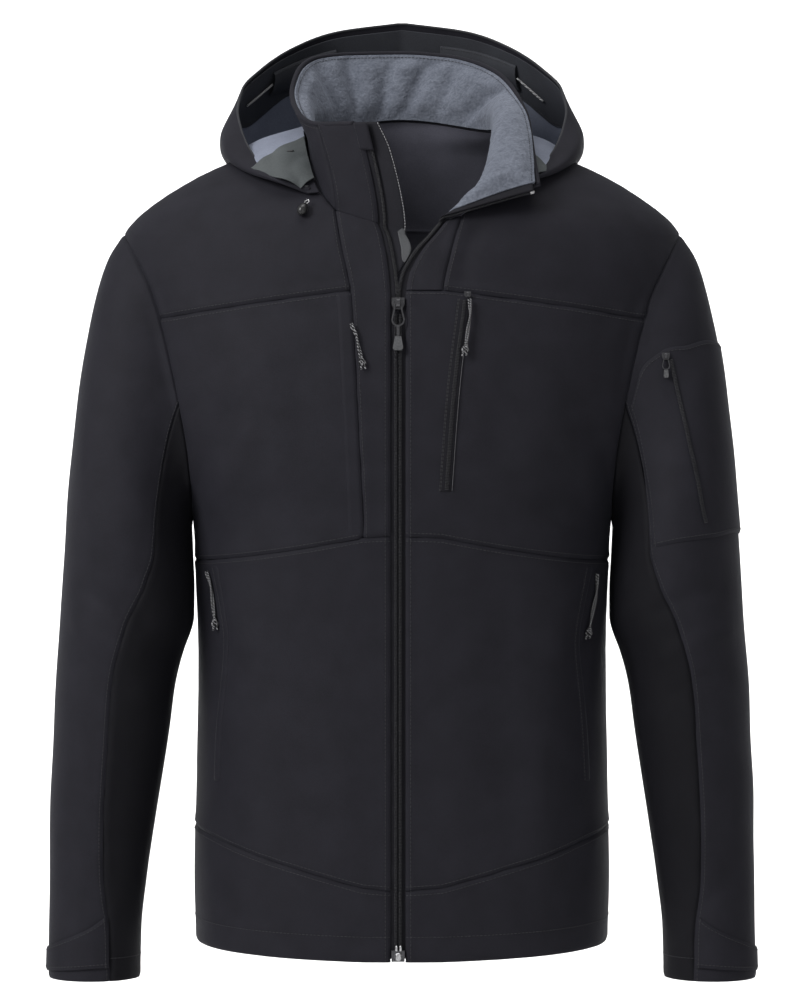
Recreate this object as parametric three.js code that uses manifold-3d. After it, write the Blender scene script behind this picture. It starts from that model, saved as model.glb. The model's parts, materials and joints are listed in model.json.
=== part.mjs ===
// Softshell jacket with an open neck, a hood laid back and a full-length zip, filled out as worn.
// Millimetres: X is across with the wearer's left at plus, Y goes to the back, Z is up.
// The origin is the middle of the neck's base, level with the shoulder seams' upper ends.
import * as THREE from 'three';
import { mergeVertices } from 'three/addons/utils/BufferGeometryUtils.js';
import Module from 'manifold-3d';

const wasm = await Module();
wasm.setup();

// Driving sizes
const CLOTH = 2;
const FLEECE = 3;
const LINING = 1;
const TAPE = 1;
const TAPE_UNDER = 3.5;
const SEAM_GAP = 0.4;
const LAYER_GAP = 0.35;
const OVERLAY_GAP = 0.5;
const OVERLAY = 1.3;
const ZIP_X = -3.5;
const COIL_WIDTH = 9;
const COIL_HEIGHT = 2.6;
const ZIP_OPEN_Z = -158;
const HEM_Z = -733;

// Horizontal sections of the body: half width, depth to the front and back, place of the side line, roundness
const BODY = table(['z', 'half', 'front', 'back', 'side', 'power'], [
  [-740, 184, 127, 121, 0, 2.4],
  [-660, 186, 128, 120, 0, 2.4],
  [-580, 184.5, 127, 117, 0, 2.4],
  [-480, 183, 128, 114, 0, 2.4],
  [-400, 185, 131, 116, 0, 2.4],
  [-348, 188, 134, 121, 0, 2.4],
  [-300, 208, 136, 124, 0, 2.35],
  [-252, 226, 135, 126, 0, 2.3],
  [-200, 240, 130, 126, 2, 2.25],
  [-150, 250, 121, 123, 3, 2.2],
  [-120, 254, 114, 120, 4, 2.2],
  [-94, 250, 105, 116, 5, 2.2],
  [-80, 239, 98, 113, 6, 2.2],
  [-62, 216, 83, 109, 7, 2.15],
  [-40, 179, 67, 103, 8, 2.1],
  [-15, 122, 45, 94, 9, 2.05],
  [0, 86, 30, 88, 10, 2],
  [16, 74, 20, 84, 14, 2],
]);

// Armhole seam on the front and on the back
const ARMHOLE = table(['z', 'front', 'back'], [
  [-348, 188, 188],
  [-330, 187, 190],
  [-300, 188.5, 195],
  [-252, 196, 203],
  [-200, 207, 213],
  [-150, 221, 227],
  [-120, 236, 239],
  [-107, 243, 244],
  [-94, 250, 250],
]);

// Neck seam on the front, princess seams and front edges, each as its distance across at a height
const NECK = table(['z', 'x'], [
  [-94, 10], [-92, 22], [-87, 45], [-80, 58], [-64, 70], [-41, 79], [-17, 84], [0, 86],
]);
const PRINCESS = {
  right: table(['z', 'x'], [
    [-740, 34], [-367, 34], [-274, 38], [-192, 42], [-150, 45], [-110, 53], [-80, 58],
  ]),
  left: table(['z', 'x'], [[-740, 34], [-367, 34], [-192, 35], [-151, 36], [-119, 42.5], [-84, 52]]),
};
const FRONT_EDGE = {
  right: table(['z', 'x'], [[-740, 10], [-158, 10], [-137, 11.5], [-103, 17], [-92, 21]]),
  left: table(['z', 'x'], [[-740, 3], [-158, 3], [-137, 6], [-126, 11], [-113, 19], [-103, 28], [-89, 39]]),
};

// Seam levels from hem to neck: at the centre, at the princess seam and at the side,
// and how soon they level off
const LEVELS = {
  front: [
    { name: 'hem', centre: HEM_Z, princess: HEM_Z, side: -725, ease: 1 },
    { name: 'hem seam', centre: -671, princess: -669, side: -622, ease: 1.7 },
    { name: 'waist', centre: -365, princess: -366, side: -386, ease: 3 },
    { name: 'underarm', centre: -348, princess: -348, side: -348, ease: 1 },
    { name: 'yoke', centre: -151, princess: -151, side: -173, ease: 1.3 },
    { name: 'shoulder', centre: -118, princess: -112, side: -94, ease: 1 },
    { name: 'neck', centre: -92, princess: -80, side: 0, ease: 1 },
  ],
  back: [
    { name: 'hem', centre: HEM_Z, side: -725 },
    { name: 'hem seam', centre: -650, side: -622 },
    { name: 'waist', centre: -386, side: -386 },
    { name: 'underarm', centre: -348, side: -348 },
    { name: 'yoke', centre: -150, side: -173 },
    { name: 'shoulder', centre: -60, side: -94 },
    { name: 'neck', centre: 16, side: 0 },
  ],
};
const NECK_CENTRE_LEFT = -89;
const NECK_PRINCESS_LEFT = -84;
// Rows of cells between one level and the next, with the spacing that the armhole's ends need
const BLOCKS = [
  { rows: 3, spacing: (v) => v },
  { rows: 7, spacing: (v) => v },
  { rows: 1, spacing: (v) => v },
  { rows: 7, spacing: (v) => v ** 1.7 },
  { rows: 4, spacing: (v) => 1 - (1 - v) ** 2 },
  { rows: 4, spacing: (v) => v },
];
const ROW_OF = {
  hem: 0, hemSeam: 3, waist: 10, underarm: 11, yoke: 18, backYoke: 20, shoulder: 22, neck: 26,
};
const STRIP_COLUMNS = 3;
const SIDE_COLUMNS = 10;
const COLLAR_ROWS = 4;

// Largest soft folds of the body: place round the body in degrees, height, reach each way, depth outwards
const BODY_FOLDS = [
  { angle: -62, z: -440, wide: 9, tall: 70, out: -3 },
  { angle: 58, z: -450, wide: 10, tall: 90, out: -2.5 },
  { angle: -30, z: -560, wide: 12, tall: 150, out: 2.5 },
  { angle: 34, z: -590, wide: 11, tall: 140, out: 2.5 },
  { angle: -44, z: -250, wide: 10, tall: 70, out: -2 },
  { angle: 46, z: -240, wide: 9, tall: 80, out: -2.5 },
  { angle: 150, z: -430, wide: 14, tall: 110, out: -3 },
  { angle: -152, z: -470, wide: 13, tall: 120, out: -3 },
  { angle: 128, z: -600, wide: 12, tall: 120, out: 3 },
  { angle: -130, z: -250, wide: 12, tall: 90, out: -2.5 },
];

// Upper edge of the collar from the right front edge round the back to the left front edge, by seam column,
// with the rise of the cloth out of the neck seam and its bulge to the front on the way
const COLLAR_TOP = table(['column', 'x', 'y', 'z', 'rise', 'bulge'], [
  [0, -38, -113, -5, 26, 2],
  [3, -75, -88, -3, 26, 2],
  [7, -93, -56, 9, 25, 0],
  [13, -101, 2, 36, 22, 0],
  [15.5, -96, 34, 58, 20, 0],
  [18, -83, 62, 72, 20, 0],
  [20.5, -50, 84, 79, 20, 0],
  [23, 0, 92, 81, 20, 0],
  [26, 44, 86, 77, 20, 0],
  [28, 70, 70, 69, 20, 0],
  [30.5, 92, 42, 54, 20, 0],
  [33, 105, 10, 33, 20, 0],
  [36, 113, -24, 6, 18, 3],
  [39, 115, -54, -21, 15, 7],
  [43, 118, -79, -46, 9, 7],
  [46, 120, -92, -60, 5, 5],
]);
const COLLAR_COLUMNS = 46;
const FLEECE_COLUMNS = [2, 44.4];
const FLEECE_ROWS = [0.03, 0.25, 0.5, 0.75, 0.94];

// Sleeve rings: outer and inner point in the front view, place and half depth from front to back
const SLEEVE = table(['ring', 'outX', 'outZ', 'inX', 'inZ', 'y', 'depth'], [
  [0, 250, -94, 188, -348, 2, 66],
  [1, 263, -115, 188.8, -358, -1, 72],
  [2, 275, -152, 188.3, -367, -5, 77],
  [3, 284, -198, 187.6, -377, -11, 80],
  [4, 290.5, -248, 186.6, -391, -18, 81],
  [5, 295.5, -302, 185.2, -410, -25, 79],
  [6, 299.5, -358, 184.8, -436, -30, 75],
  [7, 303, -420, 193, -468, -33, 70],
  [8, 307, -482, 203, -505, -36, 64],
  [9, 310, -545, 210, -556, -39, 57],
  [10, 312, -605, 218, -609, -42, 51],
  [11, 312.5, -665, 226, -666, -45, 46],
  [12, 312.5, -712, 231, -712, -49, 43],
  [13, 313, -754, 232, -754, -53, 42],
]);
const ARM_COLUMNS = 22;
const RINGS = [0, 0.5, 1, 1.5, 2, 2.5, 3, 3.5, 4, 5, 6, 7, 8, 9, 10, 11, 12, 13];
// Sleeve seam on the front, as the angle from the sleeve's outer side at each ring
const FRONT_SEAM = table(['ring', 'angle'], [
  [0, 112], [3, 117], [5, 116], [6, 108], [7, 97], [8, 92], [9, 93], [10, 95],
  [11, 101], [12, 113], [13, 116],
]);
const SEAM_COLUMN = 6;
const BACK_SEAM_COLUMN = 16;
const BACK_SEAM_ANGLE = 245;
const SLEEVE_FOLDS = [
  { angle: 70, ring: 4.2, wide: 26, tall: 0.9, out: -2.5 },
  { angle: 150, ring: 7.2, wide: 40, tall: 0.5, out: -2.5 },
  { angle: 140, ring: 8.4, wide: 42, tall: 0.5, out: 2 },
  { angle: 250, ring: 6.4, wide: 34, tall: 0.7, out: -2.5 },
  { angle: 60, ring: 9.6, wide: 30, tall: 0.8, out: 2 },
];

// Hood: from its front corner (0) to the middle of its back (1), the outermost fold and the bound rim
const HOOD_FOLD = table(['w', 'x', 'y', 'z'], [
  [0, 82, -83, -65], [0.15, 105, -80, -56], [0.3, 136, -56, -44], [0.42, 157, -14, -29], [0.5, 161, 28, -24],
  [0.6, 157, 76, -30], [0.7, 141, 122, -40], [0.8, 112, 160, -50], [0.9, 65, 188, -58], [1, 0, 197, -62],
]);
const HOOD_RIM = table(['w', 'x', 'y', 'z'], [
  [0, 81, -84, -59], [0.15, 106, -76, -50], [0.3, 132, -38, -26], [0.42, 146, 0, 4], [0.5, 150, 25, 22],
  [0.6, 147, 52, 43], [0.7, 130, 86, 66], [0.8, 103, 116, 88], [0.9, 63, 139, 106], [1, 0, 150, 116],
]);
const HOOD_FROM_COLUMN = 4.4;
const HOOD_OFF_COLLAR = 4.5;
const HOOD_ABOVE_BODY = 3;
const HOOD_COLUMNS = 34;
const HOOD_ROWS = 8;
const HOOD_SEAM = 11;
const HOOD_LINING = {
  firstColumn: 2, firstRow: 1, patchColumn: 5, foldRow: 3, facingColumn: 7, narrowRow: 2, facingRow: 6,
  narrowFacingColumn: 13, narrowFacingRow: 7, gap: 0.6,
};

// Overlap of the wind flap behind the right front edge, beyond the edge, at each height
const WIND_FLAP = table(['z', 'reach'], [[-140, 4], [-130, 12], [-105, 25], [-61, 25], [-28, 23], [-5, 17]]);

// Pocket openings on the fronts, each as its distance across at a height
const CHEST_ZIP = {
  line: table(['z', 'x'], [[-327, 38], [-240, 44.5], [-158, 54.5]]), from: -326, to: -159, width: 9, rows: 10,
};
const CHEST_WELT = { from: -364, to: -154, width: 13, beside: 0.6, rows: 10 };
const HAND_POCKET = {
  line: table(['z', 'x'], [[-582, 163], [-536, 161], [-502, 158], [-457, 154.5], [-424, 159], [-388, 167]]),
  from: -580, to: -391, width: 6, rows: 12,
};

// Cuff tab round a cuff's outer side, by sleeve column: its upper and lower edge as rings
const TAB_WALL = 2.2;
const CUFF_TAB = [
  [5.85, 12.02, 12.86], [5, 12.13, 12.87], [4, 12.25, 12.88], [3, 12.34, 12.9], [2, 12.4, 12.9],
  [1, 12.44, 12.9],
  [0, 12.47, 12.9], [-1, 12.49, 12.89], [-2, 12.51, 12.87], [-3, 12.54, 12.84],
];

// Pocket panel on the wearer's left sleeve and its slanting zip, each row from the front round to the back
const SLEEVE_POCKET = table(['column', 'top', 'bottom'], [
  [-3, 3, 5.9], [-2, 2.97, 5.9], [-1, 2.93, 5.92], [0, 2.87, 5.93], [1, 2.7, 5.8],
  [2, 2.35, 5.6], [3, 1.85, 5.35],
  [4, 1.15, 5.1], [5, 0.45, 4.88], [5.85, 0.42, 4.75],
]);
const SLEEVE_POCKET_ROWS = 9;
const SLEEVE_ZIP = table(['column', 'ring'], [
  [3.7, 1.65], [3.3, 2.3], [2.9, 3.1], [2.5, 3.9], [2.15, 4.6], [1.85, 5.3],
]);
const SLEEVE_ZIP_HALF = 0.27;
const SLEEVE_ZIP_LIFT = 4.3;

// Zip slider, its wire pull with a moulded grip, and the box at the zip's foot, in the slider's own frame:
// X across, Y up the zip, Z out of the cloth
const SLIDER = { width: 11.2, height: 10.4, waist: -1, neck: 3.4, bottom: -2, top: 0.6 };
const BRIDGE = { width: 3.4, half: 3.4, top: 4.7, shoulder: 3.4, slotHalf: 1.7, slotLow: 0.7, slotHigh: 3.3 };
const HINGE_OUT = 2;
const WIRE = 1.3;
const BAIL = { top: 2.35, waist: 2.6, belly: 4.6, bellyAt: -15, end: -19.5 };
const STEM = { width: 2.6, end: -29.5 };
const GRIP = { from: -29.9, to: -42, top: 5.4, bottom: 9, thick: 2.6 };
const SLIDER_Z = -163;
const LAPEL_TURN = { from: 20, to: 60, beside: 0.8 };
const BOX = { width: 11.4, height: 9.6, thick: 3.4, z: -727.2, bottom: -2.1 };
const SLEEVE_SLIDER = { column: 3.95, ring: 1.32, scale: 0.6, lift: 3.6 };
const SLEEVE_GRIP = { from: -21.6, to: -33, top: 6, bottom: 7.4, thick: 2.4 };

// Cord pulls: doubled cord from a pocket's slider to a knot, as distance across and height of both ends
const PULL_DIAMETER = 3.4;
const KNOT = { radius: 2.7, half: 3.6 };
const CORD_PULLS = [
  { name: 'chest_left', from: [58, -160], to: [56, -199], lift: [4, 4.4], slider: [56.5, -155.5] },
  { name: 'chest_right', from: [-44, -181.5], to: [-34, -210.5], lift: [4, 3.2] },
  { name: 'hand_right', from: [-172, -396], to: [-163.5, -437], lift: [2.6, 3.4] },
  { name: 'hand_left', from: [171, -398], to: [165.5, -445], lift: [2.6, 3.6] },
];
const POCKET_SLIDER_SCALE = 0.5;
const TOGGLE = { at: [-86, -81], radius: 4.4, half: 6.5, lift: 4.2 };
const HOOD_CORD = {
  diameter: 2, under: 5.6, right: { from: [11.12, 0.874], to: [12.62, 0.916] },
  left: { from: [12.08, 0.866], to: [13.36, 0.916] },
};

const STEP = 0.002;
const DARK = { color: 0x232329, roughness: 0.85, metalness: 0 };
const INNER = { color: 0x2b2c31, roughness: 0.9, metalness: 0 };
const GREY_FLEECE = { color: 0x70767f, roughness: 0.98, metalness: 0 };
const GREY_LINING = { color: 0x565b68, roughness: 0.9, metalness: 0 };
const BLACK_PLASTIC = { color: 0x121214, roughness: 0.45, metalness: 0 };
const GUNMETAL = { color: 0x55585c, roughness: 0.35, metalness: 0.9 };
const CORD_GREY = { color: 0x9aa0a6, roughness: 0.9, metalness: 0 };

const jacket = new THREE.Group();

function table(names, rows) {
  return { names, rows };
}

// Value of a named column at a place of the table's first column, through a curve that never overshoots
function look(tab, name, at) {
  const k = tab.names.indexOf(name);
  const { rows } = tab;
  const last = rows.length - 1;
  if (at <= rows[0][0]) return rows[0][k];
  if (at >= rows[last][0]) return rows[last][k];
  let i = 0;
  while (at > rows[i + 1][0]) i += 1;
  const slope = (j) => (rows[j + 1][k] - rows[j][k]) / (rows[j + 1][0] - rows[j][0]);
  const tangent = (j) => {
    if (j === 0) return slope(0);
    if (j === last) return slope(last - 1);
    const before = slope(j - 1);
    const after = slope(j);
    return before * after <= 0 ? 0 : (2 * before * after) / (before + after);
  };
  const width = rows[i + 1][0] - rows[i][0];
  const t = (at - rows[i][0]) / width;
  const rise = t * t * (3 - 2 * t);
  const start = t * (1 - t) ** 2 * width * tangent(i);
  const end = t * t * (t - 1) * width * tangent(i + 1);
  return rows[i][k] * (1 - rise) + rows[i + 1][k] * rise + start + end;
}

const mix = THREE.MathUtils.lerp;
const rad = THREE.MathUtils.degToRad;
const bell = (x) => Math.exp(-x * x);
const vec = (x, y, z) => new THREE.Vector3(x, y, z);
const power = (value, p) => Math.sign(value) * Math.abs(value) ** p;

function turnBetween(a, b) {
  const d = (((a - b) % 360) + 540) % 360 - 180;
  return d;
}

// Outer face of the body at an angle round it (0 at the front, 90 degrees at the wearer's left) and a height
function bodyPoint(angle, z) {
  const p = 2 / look(BODY, 'power', z);
  const side = look(BODY, 'side', z);
  const c = Math.cos(angle);
  const depth = c > 0 ? look(BODY, 'front', z) + side : look(BODY, 'back', z) - side;
  const degrees = THREE.MathUtils.radToDeg(angle);
  let out = 0;
  for (const f of BODY_FOLDS) {
    out += f.out * bell(turnBetween(degrees, f.angle) / f.wide) * bell((z - f.z) / f.tall);
  }
  const half = look(BODY, 'half', z) + out * Math.abs(Math.sin(angle));
  return vec(half * power(Math.sin(angle), p), side - (depth + out) * power(c, p), z);
}

// Angle round the body of the point that lies a distance across at a height
function angleAt(x, z) {
  const share = Math.min(1, Math.abs(x) / look(BODY, 'half', z));
  return Math.asin(share ** (look(BODY, 'power', z) / 2));
}

function surfaceNormal(point, u, v, stepU, stepV) {
  const du = point(u + stepU, v).sub(point(u - stepU, v));
  const dv = point(u, v + stepV).sub(point(u, v - stepV));
  return du.cross(dv).normalize();
}

function bodyNormal(angle, z) {
  return surfaceNormal(bodyPoint, angle, z, STEP, 0.5);
}

// Level number and fraction above it for each row of the body's grid
function bodyRows() {
  const rows = [{ level: 0, above: 0 }];
  BLOCKS.forEach((block, level) => {
    for (let r = 1; r <= block.rows; r += 1) rows.push({ level, above: block.spacing(r / block.rows) });
  });
  return rows;
}

// Angle and height of a point of a front half, whose columns run from the zip to the side
function frontPlace(side, column, row) {
  const left = side === 'left';
  const levels = LEVELS.front.map((l) => (l.name === 'neck' && left
    ? { ...l, centre: NECK_CENTRE_LEFT, princess: NECK_PRINCESS_LEFT } : l));
  const across = (column - STRIP_COLUMNS) / SIDE_COLUMNS;
  const inStrip = column <= STRIP_COLUMNS;
  const heightAt = (k, u) => {
    const l = levels[k];
    if (inStrip) return mix(l.centre, l.princess, column / STRIP_COLUMNS);
    if (l.name === 'neck') return l.princess * (1 - u) ** 1.5;
    return mix(l.princess, l.side, 1 - (1 - u) ** l.ease);
  };
  const { level, above } = row;
  const z = mix(heightAt(level, across), heightAt(level + 1, across), above);
  const edgeAngle = (height) => {
    const x = look(FRONT_EDGE[side], 'x', height);
    return left ? angleAt(x, height) : -angleAt(x, height);
  };
  const sign = left ? 1 : -1;
  const princessAngle = (height) => sign * angleAt(look(PRINCESS[side], 'x', height), height);
  if (inStrip) {
    return { angle: mix(edgeAngle(z), princessAngle(z), column / STRIP_COLUMNS), z };
  }
  const under = (k) => {
    const zp = levels[k].princess;
    const zs = levels[k].side;
    const open = zs > levels[3].side && zs < levels[6].side;
    const end = open ? angleAt(look(ARMHOLE, 'front', zs), zs) : Math.PI / 2;
    return mix(Math.abs(princessAngle(zp)), end, across);
  };
  if (level < 5) {
    const zp = mix(levels[level].princess, levels[level + 1].princess, above);
    const zs = mix(levels[level].side, levels[level + 1].side, above);
    const end = level >= 3 ? angleAt(look(ARMHOLE, 'front', zs), zs) : Math.PI / 2;
    return { angle: sign * mix(Math.abs(princessAngle(zp)), end, across), z };
  }
  const neckZ = heightAt(6, across);
  const neck = across === 1 ? Math.PI / 2 : angleAt(look(NECK, 'x', neckZ), neckZ);
  return { angle: sign * mix(under(5), neck, above), z };
}

// The same for the back, whose columns run from its middle to the side
function backPlace(side, column, row) {
  const across = column / SIDE_COLUMNS;
  const { level, above } = row;
  const levels = LEVELS.back;
  const zs = mix(levels[level].side, levels[level + 1].side, above);
  const zc = mix(levels[level].centre, levels[level + 1].centre, above);
  const z = mix(zc, zs, across ** 2 * (3 - 2 * across));
  const open = level === 3 || level === 4;
  const end = open ? Math.PI - angleAt(look(ARMHOLE, 'back', zs), zs) : Math.PI / 2;
  const angle = mix(Math.PI, end, across);
  return { angle: side === 'left' ? angle : -angle, z };
}

// A grid is a list of columns, each a list of places with a point and the direction out of the cloth
function frontGrid(side) {
  const rows = bodyRows();
  const grid = [];
  for (let i = 0; i <= STRIP_COLUMNS + SIDE_COLUMNS; i += 1) {
    grid.push(rows.map((row) => {
      const { angle, z } = frontPlace(side, i, row);
      return { p: bodyPoint(angle, z), n: bodyNormal(angle, z) };
    }));
  }
  return grid;
}

function backGrid() {
  const rows = bodyRows();
  const grid = [];
  for (let i = -SIDE_COLUMNS; i <= SIDE_COLUMNS; i += 1) {
    grid.push(rows.map((row) => {
      const { angle, z } = backPlace(i > 0 ? 'left' : 'right', Math.abs(i), row);
      return { p: bodyPoint(angle, z), n: bodyNormal(angle, z) };
    }));
  }
  return grid;
}

// Both places get one direction halfway between theirs, long enough to keep each wall's thickness
function mitre(a, b) {
  const n = a.n.clone().add(b.n).normalize();
  n.divideScalar(Math.max(0.6, n.dot(a.n)));
  a.n = n;
  b.n = n.clone();
}

// Point of the collar over a foot on the neck seam: column along the seam, share of the way up
function collarPoint(foot, column, up) {
  const top = vec(...['x', 'y', 'z'].map((name) => look(COLLAR_TOP, name, column)));
  const rise = look(COLLAR_TOP, 'rise', column);
  const bulge = look(COLLAR_TOP, 'bulge', column);
  const first = foot.clone().add(vec(0, -0.12 * rise, rise));
  const over = foot.clone().lerp(top, 0.68).add(vec(0, -bulge, bulge));
  return new THREE.CubicBezierCurve3(foot, first, over, top).getPoint(up);
}

function footAt(base, column) {
  const i = Math.min(Math.floor(column), base.length - 2);
  return base[i].p.clone().lerp(base[i + 1].p, column - i);
}

function collarGrid(base, columns, shares) {
  return withNormals(columns.map((column) => (
    shares.map((up) => collarPoint(footAt(base, column), column, up)))));
}

const span = (from, to, steps) => Array.from({ length: steps + 1 }, (_, i) => mix(from, to, i / steps));

// Places of a grid of points whose columns run from the wearer's right to the left round the back
function withNormals(points) {
  return points.map((column, i) => column.map((p, j) => ({ p, n: gridNormal(points, i, j).negate() })));
}

// Direction out of a grid of points at one of them, by its neighbours
function gridNormal(points, i, j) {
  const a = points[Math.max(i - 1, 0)][j];
  const b = points[Math.min(i + 1, points.length - 1)][j];
  const c = points[i][Math.max(j - 1, 0)];
  const d = points[i][Math.min(j + 1, points[i].length - 1)];
  return b.clone().sub(a).cross(d.clone().sub(c)).normalize();
}

function isInside(point, grow = 0) {
  const z = point.z - grow;
  const side = look(BODY, 'side', z);
  const depth = point.y < side ? look(BODY, 'front', z) + side : look(BODY, 'back', z) - side;
  const n = look(BODY, 'power', z);
  if (z > 16) return false;
  return (Math.abs(point.x) / look(BODY, 'half', z)) ** n + (Math.abs(point.y - side) / depth) ** n < 1;
}

// Lifts a point until it lies clear of the body's outer face
function restOnBody(point, gap) {
  const p = point.clone();
  while (isInside(p, gap)) p.z += 0.5;
  return p;
}

// Closed solid of the chosen cells of a grid: an outer face, an inner face one wall inside it, and its edges,
// drawn back by half a seam gap
function clothSolid(grid, belongs = () => true, wall = CLOTH, lift = 0, gap = SEAM_GAP) {
  const index = new Map();
  const places = [];
  const id = (i, j) => {
    const key = `${i},${j}`;
    if (!index.has(key)) {
      index.set(key, places.length);
      places.push(grid[i][j]);
    }
    return index.get(key);
  };
  const quads = [];
  for (let i = 0; i + 1 < grid.length; i += 1) {
    for (let j = 0; j + 1 < grid[i].length; j += 1) {
      if (belongs(i, j)) quads.push([id(i, j), id(i + 1, j), id(i + 1, j + 1), id(i, j + 1)]);
    }
  }
  const seen = new Set(quads.flatMap((q) => q.map((a, k) => `${a},${q[(k + 1) % 4]}`)));
  const edges = [];
  const inward = places.map(() => []);
  for (const quad of quads) {
    const middle = quad.reduce((sum, k) => sum.add(places[k].p), vec(0, 0, 0)).divideScalar(4);
    quad.forEach((a, k) => {
      const b = quad[(k + 1) % 4];
      if (seen.has(`${b},${a}`)) return;
      edges.push([a, b]);
      const along = places[b].p.clone().sub(places[a].p).normalize();
      const to = middle.clone().sub(places[a].p);
      to.addScaledVector(along, -to.dot(along)).normalize();
      inward[a].push(to);
      inward[b].push(to);
    });
  }
  const drawn = inward.map((list) => {
    const sum = list.reduce((total, d) => total.add(d), vec(0, 0, 0));
    const spread = list.length > 1 ? 1 + list[0].dot(list[1]) : 1;
    return sum.multiplyScalar(gap / 2 / Math.max(spread, 0.35));
  });
  const outer = places.map((q, k) => q.p.clone().addScaledVector(q.n, lift).add(drawn[k]));
  const inner = places.map((q, k) => outer[k].clone().addScaledVector(q.n, -wall));
  const count = places.length;
  const [a, b, c, d] = quads[0];
  const facing = places[c].p.clone().sub(places[a].p).cross(places[d].p.clone().sub(places[b].p));
  const flip = facing.dot(places[a].n) < 0;
  const faces = [];
  for (const q of quads) {
    faces.push([q[0], q[1], q[2]], [q[0], q[2], q[3]]);
    faces.push([q[0] + count, q[2] + count, q[1] + count], [q[0] + count, q[3] + count, q[2] + count]);
  }
  // Both sides of a seam split their edge faces along the same diagonal, so that they stay parallel
  const isFirst = (u, v) => u.x < v.x || (u.x === v.x && (u.y < v.y || (u.y === v.y && u.z < v.z)));
  for (const [s, e] of edges) {
    if (isFirst(places[s].p, places[e].p)) faces.push([s, s + count, e + count], [s, e + count, e]);
    else faces.push([s, s + count, e], [s + count, e + count, e]);
  }
  const geometry = new THREE.BufferGeometry();
  geometry.setAttribute('position', new THREE.Float32BufferAttribute(
    [...outer, ...inner].flatMap((p) => [p.x, p.y, p.z]), 3));
  geometry.setIndex(faces.flatMap((f) => (flip ? [f[0], f[2], f[1]] : f)));
  geometry.computeVertexNormals();
  return geometry;
}

function add(name, geometry, look) {
  const mesh = new THREE.Mesh(geometry, new THREE.MeshStandardMaterial(look));
  mesh.name = name;
  jacket.add(mesh);
  return mesh;
}

// Sleeve: angle from its outer side, counted to the front, for each column at a ring
function sleeveAngle(column, ring) {
  const front = look(FRONT_SEAM, 'angle', ring);
  if (column <= SEAM_COLUMN) return mix(0, front, column / SEAM_COLUMN);
  if (column <= BACK_SEAM_COLUMN) {
    return mix(front, BACK_SEAM_ANGLE, (column - SEAM_COLUMN) / (BACK_SEAM_COLUMN - SEAM_COLUMN));
  }
  return mix(BACK_SEAM_ANGLE, 360, (column - BACK_SEAM_COLUMN) / (ARM_COLUMNS - BACK_SEAM_COLUMN));
}

// Point of a sleeve for the wearer's left; the other is its mirror image
function sleevePoint(degrees, ring) {
  const s = (name) => look(SLEEVE, name, ring);
  const c = Math.cos(rad(degrees));
  let swell = 0;
  for (const f of SLEEVE_FOLDS) {
    swell += f.out * bell(turnBetween(degrees, f.angle) / f.wide) * bell((ring - f.ring) / f.tall);
  }
  const middle = vec((s('outX') + s('inX')) / 2, s('y'), (s('outZ') + s('inZ')) / 2);
  const half = vec((s('outX') - s('inX')) / 2, 0, (s('outZ') - s('inZ')) / 2);
  const p = middle.addScaledVector(half, c * (1 + swell / half.length()));
  p.y -= (s('depth') + swell) * Math.sin(rad(degrees));
  return p;
}

// Armhole points from the shoulder down the front and up the back again
function armholeLoop(front, back) {
  const down = [];
  const up = [];
  for (let row = ROW_OF.shoulder; row >= ROW_OF.underarm; row -= 1) {
    down.push(front[row]);
    up.unshift(back[row]);
  }
  return [...down, ...up.slice(1, -1)];
}

function sleeveGrid(loop) {
  const points = [];
  for (let i = 0; i <= ARM_COLUMNS; i += 1) {
    const start = loop[i % ARM_COLUMNS].p;
    const shift = start.clone().sub(sleevePoint(sleeveAngle(i, 0), 0));
    points.push(RINGS.map((ring) => {
      const fade = Math.max(0, 1 - ring / 4) ** 2;
      return sleevePoint(sleeveAngle(i, ring), ring).addScaledVector(shift, fade);
    }));
  }
  const wrapped = [points[ARM_COLUMNS - 1], ...points, points[1]];
  const grid = points.map((column, i) => column.map((p, j) => ({
    p, n: gridNormal(wrapped, i + 1, j),
  })));
  return grid;
}

const mirrorX = ({ p, n }) => ({ p: vec(-p.x, p.y, p.z), n: vec(-n.x, n.y, n.z) });

// Front edge of a half and its collar, with the direction across out of the cloth
function edgeOf(columns) {
  return columns[0].map((place, j) => ({
    p: place.p, n: place.n.clone(), side: place.p.clone().sub(columns[1][j].p).normalize(),
  }));
}

const distanceAt = (distance, place) => (typeof distance === 'function' ? distance(place) : distance);

// Strip along an edge, from one distance beside it to another, at a depth under or over the outer face
function stripGrid(edge, from, to, depth, columns = 1) {
  return span(0, 1, columns).map((share) => edge.map((q) => {
    const beside = mix(distanceAt(from, q), distanceAt(to, q), share);
    return { p: q.p.clone().addScaledVector(q.side, beside).addScaledVector(q.n, depth), n: q.n.clone() };
  }));
}

// Overlay on a surface: each row runs between two places on it
function overlayGrid(surface, rows, columns) {
  return span(0, 1, columns).map((share) => rows.map(([a, b]) => {
    const u = mix(a[0], b[0], share);
    const v = mix(a[1], b[1], share);
    return { p: surface(u, v), n: surfaceNormal(surface, u, v, 0.01, 0.01) };
  }));
}

function addOverlay(name, grid, lift, wall, look) {
  const middle = grid[Math.floor(grid.length / 2)][Math.floor(grid[0].length / 2)];
  const outwards = middle.n.dot(vec(middle.p.x, middle.p.y, 0).sub(surfaceCentre(middle.p))) > 0;
  const turned = grid.map((column) => column.map(({ p, n }) => (
    { p, n: outwards ? n : n.clone().negate() })));
  add(name, clothSolid(turned, () => true, wall, lift + wall, 0), look);
}

// Middle of the body or of the sleeve that a point belongs to
function surfaceCentre(p) {
  return vec(Math.abs(p.x) > 195 && p.z < -190 ? Math.sign(p.x) * 250 : 0, 0, 0);
}

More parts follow.
